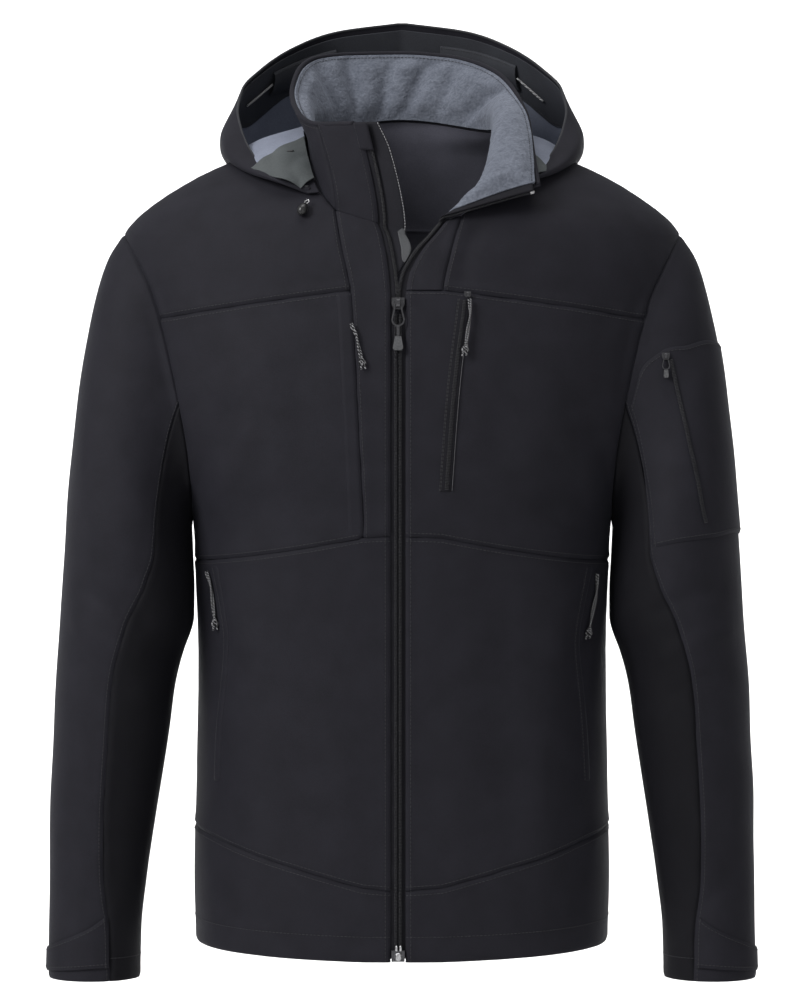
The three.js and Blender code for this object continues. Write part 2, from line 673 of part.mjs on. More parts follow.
// Solid of several closed shapes joined into one body
function join(shapes) {
  const solids = shapes.map((shape) => {
    const bare = new THREE.BufferGeometry();
    bare.setAttribute('position', shape.getAttribute('position'));
    bare.setIndex(shape.getIndex());
    const merged = mergeVertices(bare, 1e-4);
    return new wasm.Manifold(new wasm.Mesh({
      numProp: 3,
      vertProperties: new Float32Array(merged.attributes.position.array),
      triVerts: new Uint32Array(merged.index.array),
    }));
  });
  const mesh = solids.reduce((a, b) => a.add(b)).getMesh();
  const geometry = new THREE.BufferGeometry();
  geometry.setAttribute('position', new THREE.Float32BufferAttribute(mesh.vertProperties, 3));
  geometry.setIndex([...mesh.triVerts]);
  geometry.computeVertexNormals();
  return geometry;
}

const front = { right: frontGrid('right'), left: frontGrid('left') };
const back = backGrid();
const SIDE = STRIP_COLUMNS + SIDE_COLUMNS;
const SIGN = { right: -1, left: 1 };

// Cloth surface of the front at a distance across and a height, for what lies on it
const frontSurface = (x, z) => bodyPoint(Math.sign(x) * angleAt(x, z), z);

function buildSleeves() {
  const sleeves = {};
  for (const side of ['right', 'left']) {
    const frontSide = front[side][SIDE];
    const backSide = back[side === 'left' ? back.length - 1 : 0];
    for (let row = ROW_OF.shoulder; row <= ROW_OF.neck; row += 1) backSide[row].n = frontSide[row].n.clone();
    const loop = armholeLoop(frontSide, backSide);
    const seam = side === 'left' ? loop : loop.map(mirrorX);
    const grid = sleeveGrid(seam);
    for (let i = 0; i < ARM_COLUMNS; i += 1) mitre(seam[i], grid[i][0]);
    grid[ARM_COLUMNS][0].n = grid[0][0].n.clone();
    const placed = side === 'left' ? grid : grid.map((column) => column.map(mirrorX));
    loop.forEach((place, i) => { place.n = placed[i][0].n.clone(); });
    const under = (i) => i >= SEAM_COLUMN && i < BACK_SEAM_COLUMN;
    const around = [...placed.slice(BACK_SEAM_COLUMN, ARM_COLUMNS), ...placed.slice(0, SEAM_COLUMN + 1)];
    add(`sleeve_outer_${side}`, clothSolid(around), DARK);
    add(`sleeve_under_${side}`, clothSolid(placed, (i) => under(i)), INNER);
    sleeves[side] = sleeveSurface(placed);
  }
  return sleeves;
}

// Point of a built sleeve at a column, counted below 0 past its outer side to the back, and a ring
function sleeveSurface(grid) {
  return (column, ring) => {
    const around = ((column % ARM_COLUMNS) + ARM_COLUMNS) % ARM_COLUMNS;
    const i = Math.floor(around);
    const j = Math.max(0, RINGS.findIndex((end) => end > ring) - 1);
    const share = (ring - RINGS[j]) / (RINGS[j + 1] - RINGS[j]);
    const low = grid[i][j].p.clone().lerp(grid[i + 1][j].p, around - i);
    const high = grid[i][j + 1].p.clone().lerp(grid[i + 1][j + 1].p, around - i);
    return low.lerp(high, share);
  };
}

function neckSeam() {
  const top = ROW_OF.neck;
  const right = front.right.map((column) => column[top]);
  const left = front.left.map((column) => column[top]).reverse();
  const behind = back.map((column) => column[top]).slice(1, -1);
  return [...right, ...behind, ...left];
}

function buildCollar(base) {
  const grid = collarGrid(base, span(0, COLLAR_COLUMNS, COLLAR_COLUMNS), span(0, 1, COLLAR_ROWS));
  base.forEach((place, i) => mitre(place, grid[i][0]));
  back[0][ROW_OF.neck].n = front.right[SIDE][ROW_OF.neck].n.clone();
  back[back.length - 1][ROW_OF.neck].n = front.left[SIDE][ROW_OF.neck].n.clone();
  const [from, to] = FLEECE_COLUMNS;
  const columns = [from, ...span(0, COLLAR_COLUMNS, COLLAR_COLUMNS).filter((c) => c > from && c < to), to];
  const fleece = collarGrid(base, columns, FLEECE_ROWS);
  add('collar_outer', clothSolid(grid, (i) => i >= STRIP_COLUMNS), DARK);
  add('collar_fleece', clothSolid(fleece, () => true, FLEECE, -CLOTH - LAYER_GAP, 0), GREY_FLEECE);
  return grid;
}

function buildBody(collar) {
  const { hemSeam, waist, yoke, backYoke } = ROW_OF;
  for (const side of ['right', 'left']) {
    const grid = front[side];
    const strip = (i) => i < STRIP_COLUMNS;
    add(`hem_band_front_${side}`, clothSolid(grid, (i, j) => j < hemSeam), DARK);
    add(`lower_front_${side}`, clothSolid(grid, (i, j) => j >= hemSeam && j < waist), DARK);
    add(`yoke_front_${side}`, clothSolid(grid, (i, j) => j >= yoke && !strip(i)), DARK);
    if (side === 'left') {
      add('chest_left', clothSolid(grid, (i, j) => j >= waist && (j < yoke || strip(i))), DARK);
    } else {
      add('chest_right', clothSolid(grid, (i, j) => j >= waist && j < yoke && !strip(i)), DARK);
      const tall = grid.slice(0, STRIP_COLUMNS + 1).map((column, i) => [...column, ...collar[i].slice(1)]);
      add('centre_strip_right', clothSolid(tall, (i, j) => j >= waist), DARK);
    }
  }
  add('hem_band_back', clothSolid(back, (i, j) => j < hemSeam), DARK);
  add('back_panel', clothSolid(back, (i, j) => j >= hemSeam && j < backYoke), DARK);
  add('back_yoke', clothSolid(back, (i, j) => j >= backYoke), DARK);
}

// Point of the hood's outer face: column round it from the right front corner,
// and share of the way from its seam to its rim
function hoodPoint(base, column, up) {
  const half = HOOD_COLUMNS / 2;
  const w = 1 - Math.abs(column - half) / half;
  const sign = column <= half ? -1 : 1;
  const firstColumn = sign < 0 ? HOOD_FROM_COLUMN : COLLAR_COLUMNS - HOOD_FROM_COLUMN;
  const seamColumn = mix(firstColumn, COLLAR_COLUMNS / 2, w);
  const foot = footAt(base, seamColumn);
  const away = vec(foot.x, foot.y - 20, 0).normalize();
  foot.addScaledVector(away, HOOD_OFF_COLLAR);
  const at = (tab) => vec(sign * look(tab, 'x', w), look(tab, 'y', w), look(tab, 'z', w));
  const fold = at(HOOD_FOLD);
  const rim = at(HOOD_RIM);
  const swell = Math.min(1, w * 3);
  const rest = foot.clone().lerp(fold, 0.5).add(vec(0, 0, 3 * swell));
  const bulge = fold.clone().lerp(rim, 0.5).addScaledVector(away, 9 * swell);
  const line = [foot, rest, fold, bulge, rim].map((p) => restOnBody(p, HOOD_ABOVE_BODY));
  return new THREE.CatmullRomCurve3(line, false, 'centripetal').getPoint(up);
}

function buildHood(base) {
  const shares = span(0, 1, HOOD_ROWS);
  const columns = span(0, HOOD_COLUMNS, HOOD_COLUMNS);
  const shell = withNormals(columns.map((column) => shares.map((up) => hoodPoint(base, column, up))));
  const fromEnd = (i) => Math.min(i, HOOD_COLUMNS - 1 - i);
  const layer = (belongs) => clothSolid(shell, belongs, LINING, -CLOTH - HOOD_LINING.gap);
  add('hood_side_right', clothSolid(shell, (i) => i < HOOD_SEAM), DARK);
  add('hood_centre', clothSolid(shell, (i) => fromEnd(i) >= HOOD_SEAM), DARK);
  add('hood_side_left', clothSolid(shell, (i) => i >= HOOD_COLUMNS - HOOD_SEAM), DARK);
  const { firstColumn, firstRow, patchColumn, foldRow, facingColumn, narrowRow } = HOOD_LINING;
  const { facingRow, narrowFacingColumn, narrowFacingRow } = HOOD_LINING;
  const lastRow = (end) => {
    if (end < patchColumn) return foldRow;
    if (end < facingColumn) return narrowRow;
    return end < narrowFacingColumn ? facingRow : narrowFacingRow;
  };
  const isLined = (i, j) => j >= firstRow && j < lastRow(fromEnd(i));
  const isPatch = (i, j) => isLined(i, j) && fromEnd(i) >= firstColumn && fromEnd(i) < patchColumn;
  const isFacing = (i, j) => fromEnd(i) >= facingColumn && j >= lastRow(fromEnd(i));
  add('hood_patch_right', layer((i, j) => isPatch(i, j) && i < HOOD_SEAM), GREY_LINING);
  add('hood_patch_left', layer((i, j) => isPatch(i, j) && i > HOOD_SEAM), GREY_LINING);
  add('hood_lining', layer((i, j) => isLined(i, j) && fromEnd(i) >= patchColumn), GREY_LINING);
  add('hood_facing', layer(isFacing), DARK);
}

function buildZip(collar) {
  const last = COLLAR_COLUMNS;
  const halves = {
    right: front.right.slice(0, 2).map((column, i) => [...column, ...collar[i].slice(1)]),
    left: front.left.slice(0, 2).map((column, i) => [...column, ...collar[last - i].slice(1)]),
  };
  const half = Math.abs(ZIP_X) + FRONT_EDGE.left.rows[0][1];
  const under = -CLOTH - OVERLAY_GAP;
  const open = ROW_OF.yoke;
  const hem = (q) => (q.p.x > LAPEL_TURN.from && q.p.x < LAPEL_TURN.to ? LAPEL_TURN.beside : -TAPE_UNDER);
  for (const side of ['right', 'left']) {
    const edge = edgeOf(halves[side]).slice(0, -1);
    const tape = stripGrid(edge, hem, half - 0.3, under, 1);
    add(`zip_tape_${side}`, clothSolid(tape, () => true, TAPE, 0, 0), INNER);
    const teeth = stripGrid(edge.slice(open), half - 0.3 - COIL_WIDTH / 2, half - 0.5, under, 1);
    const coil = clothSolid(teeth, () => true, COIL_HEIGHT - LAYER_GAP, COIL_HEIGHT + 0.2, 0);
    add(`zip_teeth_open_${side}`, coil, BLACK_PLASTIC);
  }
  const rows = span(HEM_Z + 12, ZIP_OPEN_Z - 14, 24).map((z) => [
    [ZIP_X - COIL_WIDTH / 2, z], [ZIP_X + COIL_WIDTH / 2, z],
  ]);
  const closed = overlayGrid(frontSurface, rows, 2);
  addOverlay('zip_teeth_closed', closed, under + LAYER_GAP, COIL_HEIGHT - LAYER_GAP, BLACK_PLASTIC);
  const reach = (q) => look(WIND_FLAP, 'reach', q.p.z);
  const edge = edgeOf(halves.right);
  const flap = stripGrid(edge.slice(ROW_OF.yoke + 1), -9, reach, under - TAPE - LAYER_GAP, 2);
  add('wind_flap', clothSolid(flap, () => true, CLOTH, 0, 0), INNER);
  const guard = stripGrid(edge.slice(-2), -4, 9, 0, 2);
  add('chin_guard', clothSolid(guard, () => true, OVERLAY, OVERLAY + OVERLAY_GAP, 0), DARK);
}

function buildPockets(sleeves) {
  const upAndDown = (rows) => rows.map(([column, top, bottom]) => [[column, top], [column, bottom]]);
  const lay = (name, { from, to, width, rows }, middle, columns, look) => {
    const band = span(from, to, rows).map((z) => [[middle(z) - width / 2, z], [middle(z) + width / 2, z]]);
    addOverlay(name, overlayGrid(frontSurface, band, columns), OVERLAY_GAP, OVERLAY, look);
  };
  lay('chest_zip_left', CHEST_ZIP, (z) => look(CHEST_ZIP.line, 'x', z), 1, BLACK_PLASTIC);
  const seam = (z) => CHEST_WELT.beside - look(PRINCESS.right, 'x', z);
  lay('chest_welt_right', CHEST_WELT, (z) => seam(z) - CHEST_WELT.width / 2, 2, DARK);
  for (const side of ['right', 'left']) {
    lay(`hand_pocket_${side}`, HAND_POCKET, (z) => SIGN[side] * look(HAND_POCKET.line, 'x', z), 1, DARK);
    const tab = overlayGrid(sleeves[side], upAndDown(CUFF_TAB), 2);
    addOverlay(`cuff_tab_${side}`, tab, OVERLAY_GAP, TAB_WALL, DARK);
  }
  const panel = overlayGrid(sleeves.left, upAndDown(SLEEVE_POCKET.rows), SLEEVE_POCKET_ROWS);
  addOverlay('sleeve_pocket', panel, OVERLAY_GAP, OVERLAY, DARK);
  const zip = SLEEVE_ZIP.rows.map(([column, ring]) => [
    [column + SLEEVE_ZIP_HALF, ring], [column - SLEEVE_ZIP_HALF, ring],
  ]);
  addOverlay('sleeve_pocket_zip', overlayGrid(sleeves.left, zip, 1), SLEEVE_ZIP_LIFT, OVERLAY, BLACK_PLASTIC);
}

// Places a shape made in the frame of a point on the cloth: across, up the cloth and out of it
function seat(geometry, place, across = vec(1, 0, 0)) {
  const out = place.n.clone().normalize();
  const up = out.clone().cross(across).normalize();
  const right = up.clone().cross(out);
  const frame = new THREE.Matrix4().makeBasis(right, up, out).setPosition(place.p);
  return geometry.applyMatrix4(frame);
}

function outline(points) {
  return new THREE.Shape(points.map(([x, y]) => new THREE.Vector2(x, y)));
}

// Plate with the given outline between two heights out of the cloth
function plate(points, from, to, holes = []) {
  const shape = outline(points);
  const reversed = points.slice().reverse();
  if (THREE.ShapeUtils.isClockWise(shape.getPoints())) return plate(reversed, from, to, holes);
  shape.holes = holes.map(outline);
  return new THREE.ExtrudeGeometry(shape, { depth: to - from, bevelEnabled: false }).translate(0, 0, from);
}

const mirrored = (half) => [...half, ...half.slice().reverse().map(([x, y]) => [-x, y])];

function sliderShape() {
  const { width, height, waist, neck, bottom, top } = SLIDER;
  const half = [[width / 2, height / 2], [width / 2, waist], [neck, -height / 2]];
  const crown = plate(mirrored(half), bottom, top);
  const b = BRIDGE;
  const arch = mirrored([[b.half, 0], [b.half, b.shoulder], [b.slotHalf, b.top]]);
  const slot = mirrored([[b.slotHalf, b.slotLow], [b.slotHalf, b.slotHigh]]).reverse();
  const bridge = plate(arch, -b.width / 2, b.width / 2, [slot]);
  bridge.applyMatrix4(new THREE.Matrix4().makeBasis(vec(0, 1, 0), vec(0, 0, 1), vec(1, 0, 0)));
  return join([crown, bridge]);
}

function bailShape(stemEnd) {
  const b = BAIL;
  const ring = (grow) => mirrored([
    [b.top - 1 + grow / 2, grow - WIRE / 2],
    [b.top + grow, -1.1],
    [b.waist + grow, -6],
    [b.belly + grow, b.bellyAt],
    [b.belly - 1 + grow, b.end + 1.5 - grow * 0.4],
    [1.6 + grow * 0.4, b.end - grow],
  ]);
  const wire = plate(ring(WIRE), -WIRE / 2, WIRE / 2, [ring(0)]);
  const half = STEM.width / 2;
  const stem = plate(mirrored([[half, b.end - 0.6], [half, stemEnd]]), -WIRE / 2, WIRE / 2);
  return join([wire, stem]);
}

function gripShape(grip) {
  const { from, to, top, bottom, thick } = grip;
  const edge = [[top / 2, from], [bottom / 2, to + 2], [bottom / 2 - 1.2, to]];
  return plate(mirrored(edge), -thick / 2, thick / 2);
}

function buildZipHardware() {
  const place = (x, z) => ({ p: frontSurface(x, z), n: bodyNormal(Math.sign(x) * angleAt(x, z), z) });
  const middle = place(ZIP_X, SLIDER_Z);
  add('zip_slider', seat(sliderShape(), middle), GUNMETAL);
  add('zip_pull_bail', seat(bailShape(STEM.end).translate(0, 0, HINGE_OUT), middle), GUNMETAL);
  add('zip_pull_grip', seat(gripShape(GRIP).translate(0, 0, HINGE_OUT), middle), BLACK_PLASTIC);
  const { width, height, thick, z, bottom } = BOX;
  const box = new THREE.BoxGeometry(width, height, thick).translate(0, 0, bottom + thick / 2);
  add('zip_box', seat(box, place(ZIP_X, z)), GUNMETAL);
}

function buildSleeveSlider(surface) {
  const { column, ring, scale, lift } = SLEEVE_SLIDER;
  const n = surfaceNormal(surface, column, ring, 0.3, 0.3);
  const p = surface(column, ring);
  if (n.y > 0) n.negate();
  p.addScaledVector(n, lift);
  const across = n.clone().cross(vec(0, 0, 1)).negate().normalize();
  const put = (shape) => seat(shape.scale(scale, scale, scale), { p, n }, across);
  add('sleeve_zip_slider', put(sliderShape()), GUNMETAL);
  add('sleeve_pull_bail', put(bailShape(SLEEVE_GRIP.from + 0.4).translate(0, 0, HINGE_OUT)), GUNMETAL);
  add('sleeve_pull_grip', put(gripShape(SLEEVE_GRIP).translate(0, 0, HINGE_OUT)), BLACK_PLASTIC);
}

// Round cord with flat ends along a list of points
function cordSolid(points, diameter) {
  const shape = new THREE.Shape(Array.from({ length: 8 }, (_, i) => new THREE.Vector2(
    (Math.cos(rad(i * 45)) * diameter) / 2, (Math.sin(rad(i * 45)) * diameter) / 2)));
  const path = new THREE.CatmullRomCurve3(points);
  const steps = Math.max(6, Math.round(path.getLength() / diameter / 2.8));
  return new THREE.ExtrudeGeometry(shape, { steps, bevelEnabled: false, extrudePath: path });
}

function raised([x, z], lift) {
  const n = bodyNormal(Math.sign(x) * angleAt(x, z), z);
  return { p: frontSurface(x, z).addScaledVector(n, lift), n };
}

function buildCords(hood) {
  for (const pull of CORD_PULLS) {
    const [from, to] = [pull.from, pull.to];
    const route = [0, 0.35, 0.7, 1].map((t) => {
      const sway = 1.2 * Math.sin(t * Math.PI * 1.5);
      return raised([mix(from[0], to[0], t) + sway, mix(from[1], to[1], t)], mix(...pull.lift, t)).p;
    });
    add(`cord_pull_${pull.name}`, cordSolid(route, PULL_DIAMETER), CORD_GREY);
    const end = route[3].clone().sub(route[2]).normalize();
    const knot = new THREE.SphereGeometry(1, 8, 6).scale(KNOT.radius, KNOT.half, KNOT.radius);
    const at = route[3].clone().addScaledVector(end, KNOT.half + 0.35);
    const turn = new THREE.Quaternion().setFromUnitVectors(vec(0, 1, 0), end);
    add(`cord_knot_${pull.name}`, knot.applyQuaternion(turn).translate(at.x, at.y, at.z), CORD_GREY);
    if (pull.slider) {
      const size = POCKET_SLIDER_SCALE;
      const place = raised(pull.slider, OVERLAY_GAP + OVERLAY + LAYER_GAP - SLIDER.bottom * size - 0.15);
      add(`pocket_slider_${pull.name}`, seat(sliderShape().scale(size, size, size), place), GUNMETAL);
    }
  }
  const at = raised(TOGGLE.at, TOGGLE.lift);
  const toggle = new THREE.SphereGeometry(1, 12, 8).scale(TOGGLE.radius, TOGGLE.half, TOGGLE.radius);
  add('hood_toggle', seat(toggle.rotateZ(rad(-25)), at), BLACK_PLASTIC);
  for (const side of ['right', 'left']) {
    const { from, to } = HOOD_CORD[side];
    const route = [0, 0.33, 0.67, 1].map((t) => {
      const fromEnd = mix(from[0], to[0], t);
      const column = side === 'right' ? fromEnd : HOOD_COLUMNS - fromEnd;
      const up = mix(from[1], to[1], t);
      return hood(column, up).addScaledVector(surfaceNormal(hood, column, up, 0.2, 0.02), HOOD_CORD.under);
    });
    add(`hood_cord_${side}`, cordSolid(route, HOOD_CORD.diameter), CORD_GREY);
  }
}

const sleeves = buildSleeves();
const base = neckSeam();
const collar = buildCollar(base);
buildBody(collar);
buildHood(base);
buildZip(collar);
buildPockets(sleeves);
buildZipHardware();
buildSleeveSlider(sleeves.left);
buildCords((column, up) => hoodPoint(base, column, up));

export default jacket;
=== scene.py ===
# Visual model of a softshell jacket: cloth panels, hood, collar, zips, pockets and sewing over the CAD frame.
# Shapes are worked out in millimetres along the shared frame's axes and stored in metres.
import json
import math

import bmesh
import bpy
import numpy as np
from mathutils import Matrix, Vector

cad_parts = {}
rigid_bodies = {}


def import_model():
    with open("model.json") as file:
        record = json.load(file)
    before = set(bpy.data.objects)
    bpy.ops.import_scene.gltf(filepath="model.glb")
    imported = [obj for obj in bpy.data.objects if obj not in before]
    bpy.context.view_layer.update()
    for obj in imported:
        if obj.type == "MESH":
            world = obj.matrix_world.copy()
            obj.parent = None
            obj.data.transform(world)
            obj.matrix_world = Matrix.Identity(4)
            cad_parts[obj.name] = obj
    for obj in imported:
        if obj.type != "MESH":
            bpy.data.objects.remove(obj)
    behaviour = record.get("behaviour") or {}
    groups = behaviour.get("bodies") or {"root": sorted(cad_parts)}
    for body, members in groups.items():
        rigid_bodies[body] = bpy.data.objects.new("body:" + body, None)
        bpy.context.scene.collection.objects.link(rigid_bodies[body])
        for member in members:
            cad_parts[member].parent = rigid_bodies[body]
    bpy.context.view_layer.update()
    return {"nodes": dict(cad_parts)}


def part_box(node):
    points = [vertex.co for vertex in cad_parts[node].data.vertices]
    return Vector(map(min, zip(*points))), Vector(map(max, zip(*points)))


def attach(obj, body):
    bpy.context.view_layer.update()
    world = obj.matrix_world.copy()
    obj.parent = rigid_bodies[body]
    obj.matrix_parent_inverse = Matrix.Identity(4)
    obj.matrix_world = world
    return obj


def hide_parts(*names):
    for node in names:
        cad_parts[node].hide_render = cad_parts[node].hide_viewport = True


for old in list(bpy.data.objects):
    bpy.data.objects.remove(old)
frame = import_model()

MM = 0.001
STEP = 4.0
FINE = STEP * 0.5
WALL = 1.6
HEM_Z = -733
ZIP_X = -3.5
ZIP_OPEN_Z = -158
BODY = "jacket"
# Distances of the extra rows of points beside a seam
BESIDE_SEAM = (0.8, 1.9, 3.2)
# Edges of a patch of cloth, and how deep the seam groove is at each of them
FIRST, LAST, LOWER, UPPER = range(4)
EVEN_ROLL = (1, 1, 1, 1)
NO_ROLL = (0, 0, 0, 0)
# Groove at a seam, the soft ridge beside it and the puckers round it, for a roll of 1
GROOVE = {
    "width": 1.5, "depth": 1.2, "ridge_at": 5.5, "ridge_width": 3.2, "ridge_height": 0.35,
    "pucker_reach": 9, "pucker": 0.3,
}
# How far from a calm edge the creases are at their full height
CALM_REACH = 14
# Soft unevenness of all cloth: height and length of its waves
UNEVEN = {"height": 0.35, "length": 90}
# Sewing: distance from one stitch to the next and half sizes of one stitch
STITCH = {"pitch": 3.4, "half": (1.25, 0.28, 0.25)}
# Distances of the sewing from an edge
SEAM_STITCH, BAND_STITCH, FRONT_STITCH, HEM_STITCH, CUFF_STITCH = 3.5, 4, 4.5, 22, 20


# Tables with named columns, read through a curve that never overshoots
def table(names, rows):
    return dict(zip(names.split(), np.array(rows, float).T))


def look(tab, name, at):
    keys = next(iter(tab.values()))
    values = tab[name]
    at = np.clip(np.asarray(at, float), keys[0], keys[-1])
    slope = np.diff(values) / np.diff(keys)
    tangent = np.empty(len(values))
    tangent[0] = slope[0]
    tangent[-1] = slope[-1]
    product = slope[:-1] * slope[1:]
    total = np.where(product > 0, slope[:-1] + slope[1:], 1.0)
    tangent[1:-1] = np.where(product > 0, 2 * product / total, 0.0)
    i = np.clip(np.searchsorted(keys, at, side="right") - 1, 0, len(keys) - 2)
    width = keys[i + 1] - keys[i]
    t = (at - keys[i]) / width
    rise = ease(t)
    start = t * (1 - t) ** 2 * width * tangent[i]
    end = t * t * (t - 1) * width * tangent[i + 1]
    return values[i] * (1 - rise) + values[i + 1] * rise + start + end


# Horizontal sections of the body: half width, depth to the front and back, place of the side line, roundness
SECTIONS = table("z half front back side power", [
    [-740, 184, 127, 121, 0, 2.4],
    [-660, 186, 128, 120, 0, 2.4],
    [-580, 184.5, 127, 117, 0, 2.4],
    [-480, 183, 128, 114, 0, 2.4],
    [-400, 185, 131, 116, 0, 2.4],
    [-348, 188, 134, 121, 0, 2.4],
    [-300, 208, 136, 124, 0, 2.35],
    [-252, 226, 135, 126, 0, 2.3],
    [-200, 240, 130, 126, 2, 2.25],
    [-150, 250, 121, 123, 3, 2.2],
    [-120, 254, 114, 120, 4, 2.2],
    [-94, 250, 105, 116, 5, 2.2],
    [-80, 239, 98, 113, 6, 2.2],
    [-62, 216, 83, 109, 7, 2.15],
    [-40, 179, 67, 103, 8, 2.1],
    [-15, 122, 45, 94, 9, 2.05],
    [0, 86, 30, 88, 10, 2],
    [16, 74, 20, 84, 14, 2],
])
ARMHOLE = table("z front back", [
    [-348, 188, 188], [-330, 187, 190], [-300, 188.5, 195], [-252, 196, 203], [-200, 207, 213],
    [-150, 221, 227], [-120, 236, 239], [-107, 243, 244], [-94, 250, 250],
])
NECK = table("z x", [[-94, 10], [-92, 22], [-87, 45], [-80, 58], [-64, 70], [-41, 79], [-17, 84], [0, 86]])
PRINCESS = {
    "right": table("z x", [
        [-740, 34], [-367, 34], [-274, 38], [-192, 42], [-150, 45], [-110, 53], [-80, 58],
    ]),
    "left": table("z x", [[-740, 34], [-367, 34], [-192, 35], [-151, 36], [-119, 42.5], [-84, 52]]),
}
FRONT_EDGE = {
    "right": table("z x", [[-740, 10], [-158, 10], [-137, 11.5], [-103, 17], [-92, 21]]),
    "left": table("z x", [[-740, 3], [-158, 3], [-137, 6], [-126, 11], [-113, 19], [-103, 28], [-89, 39]]),
}
# Seam levels: height at the centre, at the princess seam and at the side, and how soon they level off
FRONT_LEVELS = table("level centre princess side ease", [
    [0, HEM_Z, HEM_Z, -725, 1],
    [1, -671, -669, -622, 1.7],
    [2, -365, -366, -386, 3],
    [3, -348, -348, -348, 1],
    [4, -151, -151, -173, 1.3],
    [5, -118, -112, -94, 1],
    [6, -92, -80, 0, 1],
])
NECK_LEFT = {"centre": -89, "princess": -84}
BACK_LEVELS = table("level centre side", [
    [0, HEM_Z, -725], [1, -650, -622], [2, -386, -386], [3, -348, -348],
    [4, -150, -173], [5, -60, -94], [6, 16, 0],
])
FIRST_ROW = np.array([0, 3, 10, 11, 18, 22, 26])
HEM_SEAM, WAIST, UNDERARM, YOKE, BACK_YOKE, SHOULDER, NECK_ROW = 3, 10, 11, 18, 20, 22, 26
STRIP, SIDE, BACK_SIDE = 3, 13, 10

# Largest soft folds of the body: place round it in degrees, height, reach each way, depth outwards
BODY_FOLDS = [
    (-62, -440, 9, 70, -3), (58, -450, 10, 90, -2.5), (-30, -560, 12, 150, 2.5), (34, -590, 11, 140, 2.5),
    (-44, -250, 10, 70, -2), (46, -240, 9, 80, -2.5), (150, -430, 14, 110, -3), (-152, -470, 13, 120, -3),
    (128, -600, 12, 120, 3), (-130, -250, 12, 90, -2.5),
]

COLLAR_TOP = table("column x y z rise bulge", [
    [0, -38, -113, -5, 26, 2], [3, -75, -88, -3, 26, 2], [7, -93, -56, 9, 25, 0], [13, -101, 2, 36, 22, 0],
    [15.5, -96, 34, 58, 20, 0], [18, -83, 62, 72, 20, 0], [20.5, -50, 84, 79, 20, 0], [23, 0, 92, 81, 20, 0],
    [26, 44, 86, 77, 20, 0], [28, 70, 70, 69, 20, 0], [30.5, 92, 42, 54, 20, 0], [33, 105, 10, 33, 20, 0],
    [36, 113, -24, 6, 18, 3], [39, 115, -54, -21, 15, 7], [43, 118, -79, -46, 9, 7],
    [46, 120, -92, -60, 5, 5],
])
COLLAR_COLUMNS = 46
FLEECE = {"wall": 2.3, "columns": (2, 45.5), "rows": (0.03, 0.95), "bulge": 5.0, "fade": 16}
# Soft valleys of the fleece: column at half height, lean in columns from bottom to top, half width, depth
FLEECE_FOLDS = table("column lean half depth", [
    [17.4, 0.6, 0.7, 4.5], [19.6, 1.6, 0.55, 6.0], [21.9, 1.5, 0.5, 4.6], [24.1, 1.9, 0.6, 6.0],
    [26.6, 1.4, 0.6, 4.0], [30.2, 4.2, 0.8, 7.0], [34.5, -1.0, 1.0, 1.8], [39.0, -1.2, 1.0, 1.4],
])

# Sleeve rings: outer and inner point in the front view, place and half depth from front to back
SLEEVE = table("ring outX outZ inX inZ y depth", [
    [0, 250, -94, 188, -348, 2, 66],
    [1, 263, -115, 188.8, -358, -1, 72],
    [2, 275, -152, 188.3, -367, -5, 77],
    [3, 284, -198, 187.6, -377, -11, 80],
    [4, 290.5, -248, 186.6, -391, -18, 81],
    [5, 295.5, -302, 185.2, -410, -25, 79],
    [6, 299.5, -358, 184.8, -436, -30, 75],
    [7, 303, -420, 193, -468, -33, 70],
    [8, 307, -482, 203, -505, -36, 64],
    [9, 310, -545, 210, -556, -39, 57],
    [10, 312, -605, 218, -609, -42, 51],
    [11, 312.5, -665, 226, -666, -45, 46],
    [12, 312.5, -712, 231, -712, -49, 43],
    [13, 313, -754, 232, -754, -53, 42],
])
ARM_COLUMNS, LAST_RING = 22, 13
FRONT_SEAM = table("ring angle", [
    [0, 112], [3, 117], [5, 116], [6, 108], [7, 97], [8, 92], [9, 93], [10, 95], [11, 101], [12, 113],
    [13, 116],
])
SEAM_COLUMN, BACK_SEAM_COLUMN, BACK_SEAM_ANGLE = 6, 16, 245
SLEEVE_FOLDS = [
    (70, 4.2, 26, 0.9, -2.5), (150, 7.2, 40, 0.5, -2.5), (140, 8.4, 42, 0.5, 2), (250, 6.4, 34, 0.7, -2.5),
    (60, 9.6, 30, 0.8, 2),
]

# Hood from its front corner (0) to the middle of its back (1): the outermost fold and the bound rim
HOOD_FOLD = table("w x y z", [
    [0, 82, -83, -65], [0.15, 105, -80, -56], [0.3, 136, -56, -44], [0.42, 157, -14, -29],
    [0.5, 161, 28, -24], [0.6, 157, 76, -30], [0.7, 141, 122, -40], [0.8, 112, 160, -50],
    [0.9, 65, 188, -58], [1, 0, 197, -62],
])
HOOD_RIM = table("w x y z", [
    [0, 81, -84, -59], [0.15, 106, -76, -50], [0.3, 132, -38, -26], [0.42, 146, 0, 4], [0.5, 150, 25, 22],
    [0.6, 147, 52, 43], [0.7, 130, 86, 66], [0.8, 103, 116, 88], [0.9, 63, 139, 106], [1, 0, 150, 116],
])
HOOD_FROM_COLUMN, HOOD_OFF_COLLAR, HOOD_ABOVE_BODY = 4.4, 4.5, 3.0
HOOD_MIDDLE_Y, HOOD_RISE, HOOD_BULGE = 20, 3.0, 9
HOOD_COLUMNS, HOOD_SEAM = 34, 11

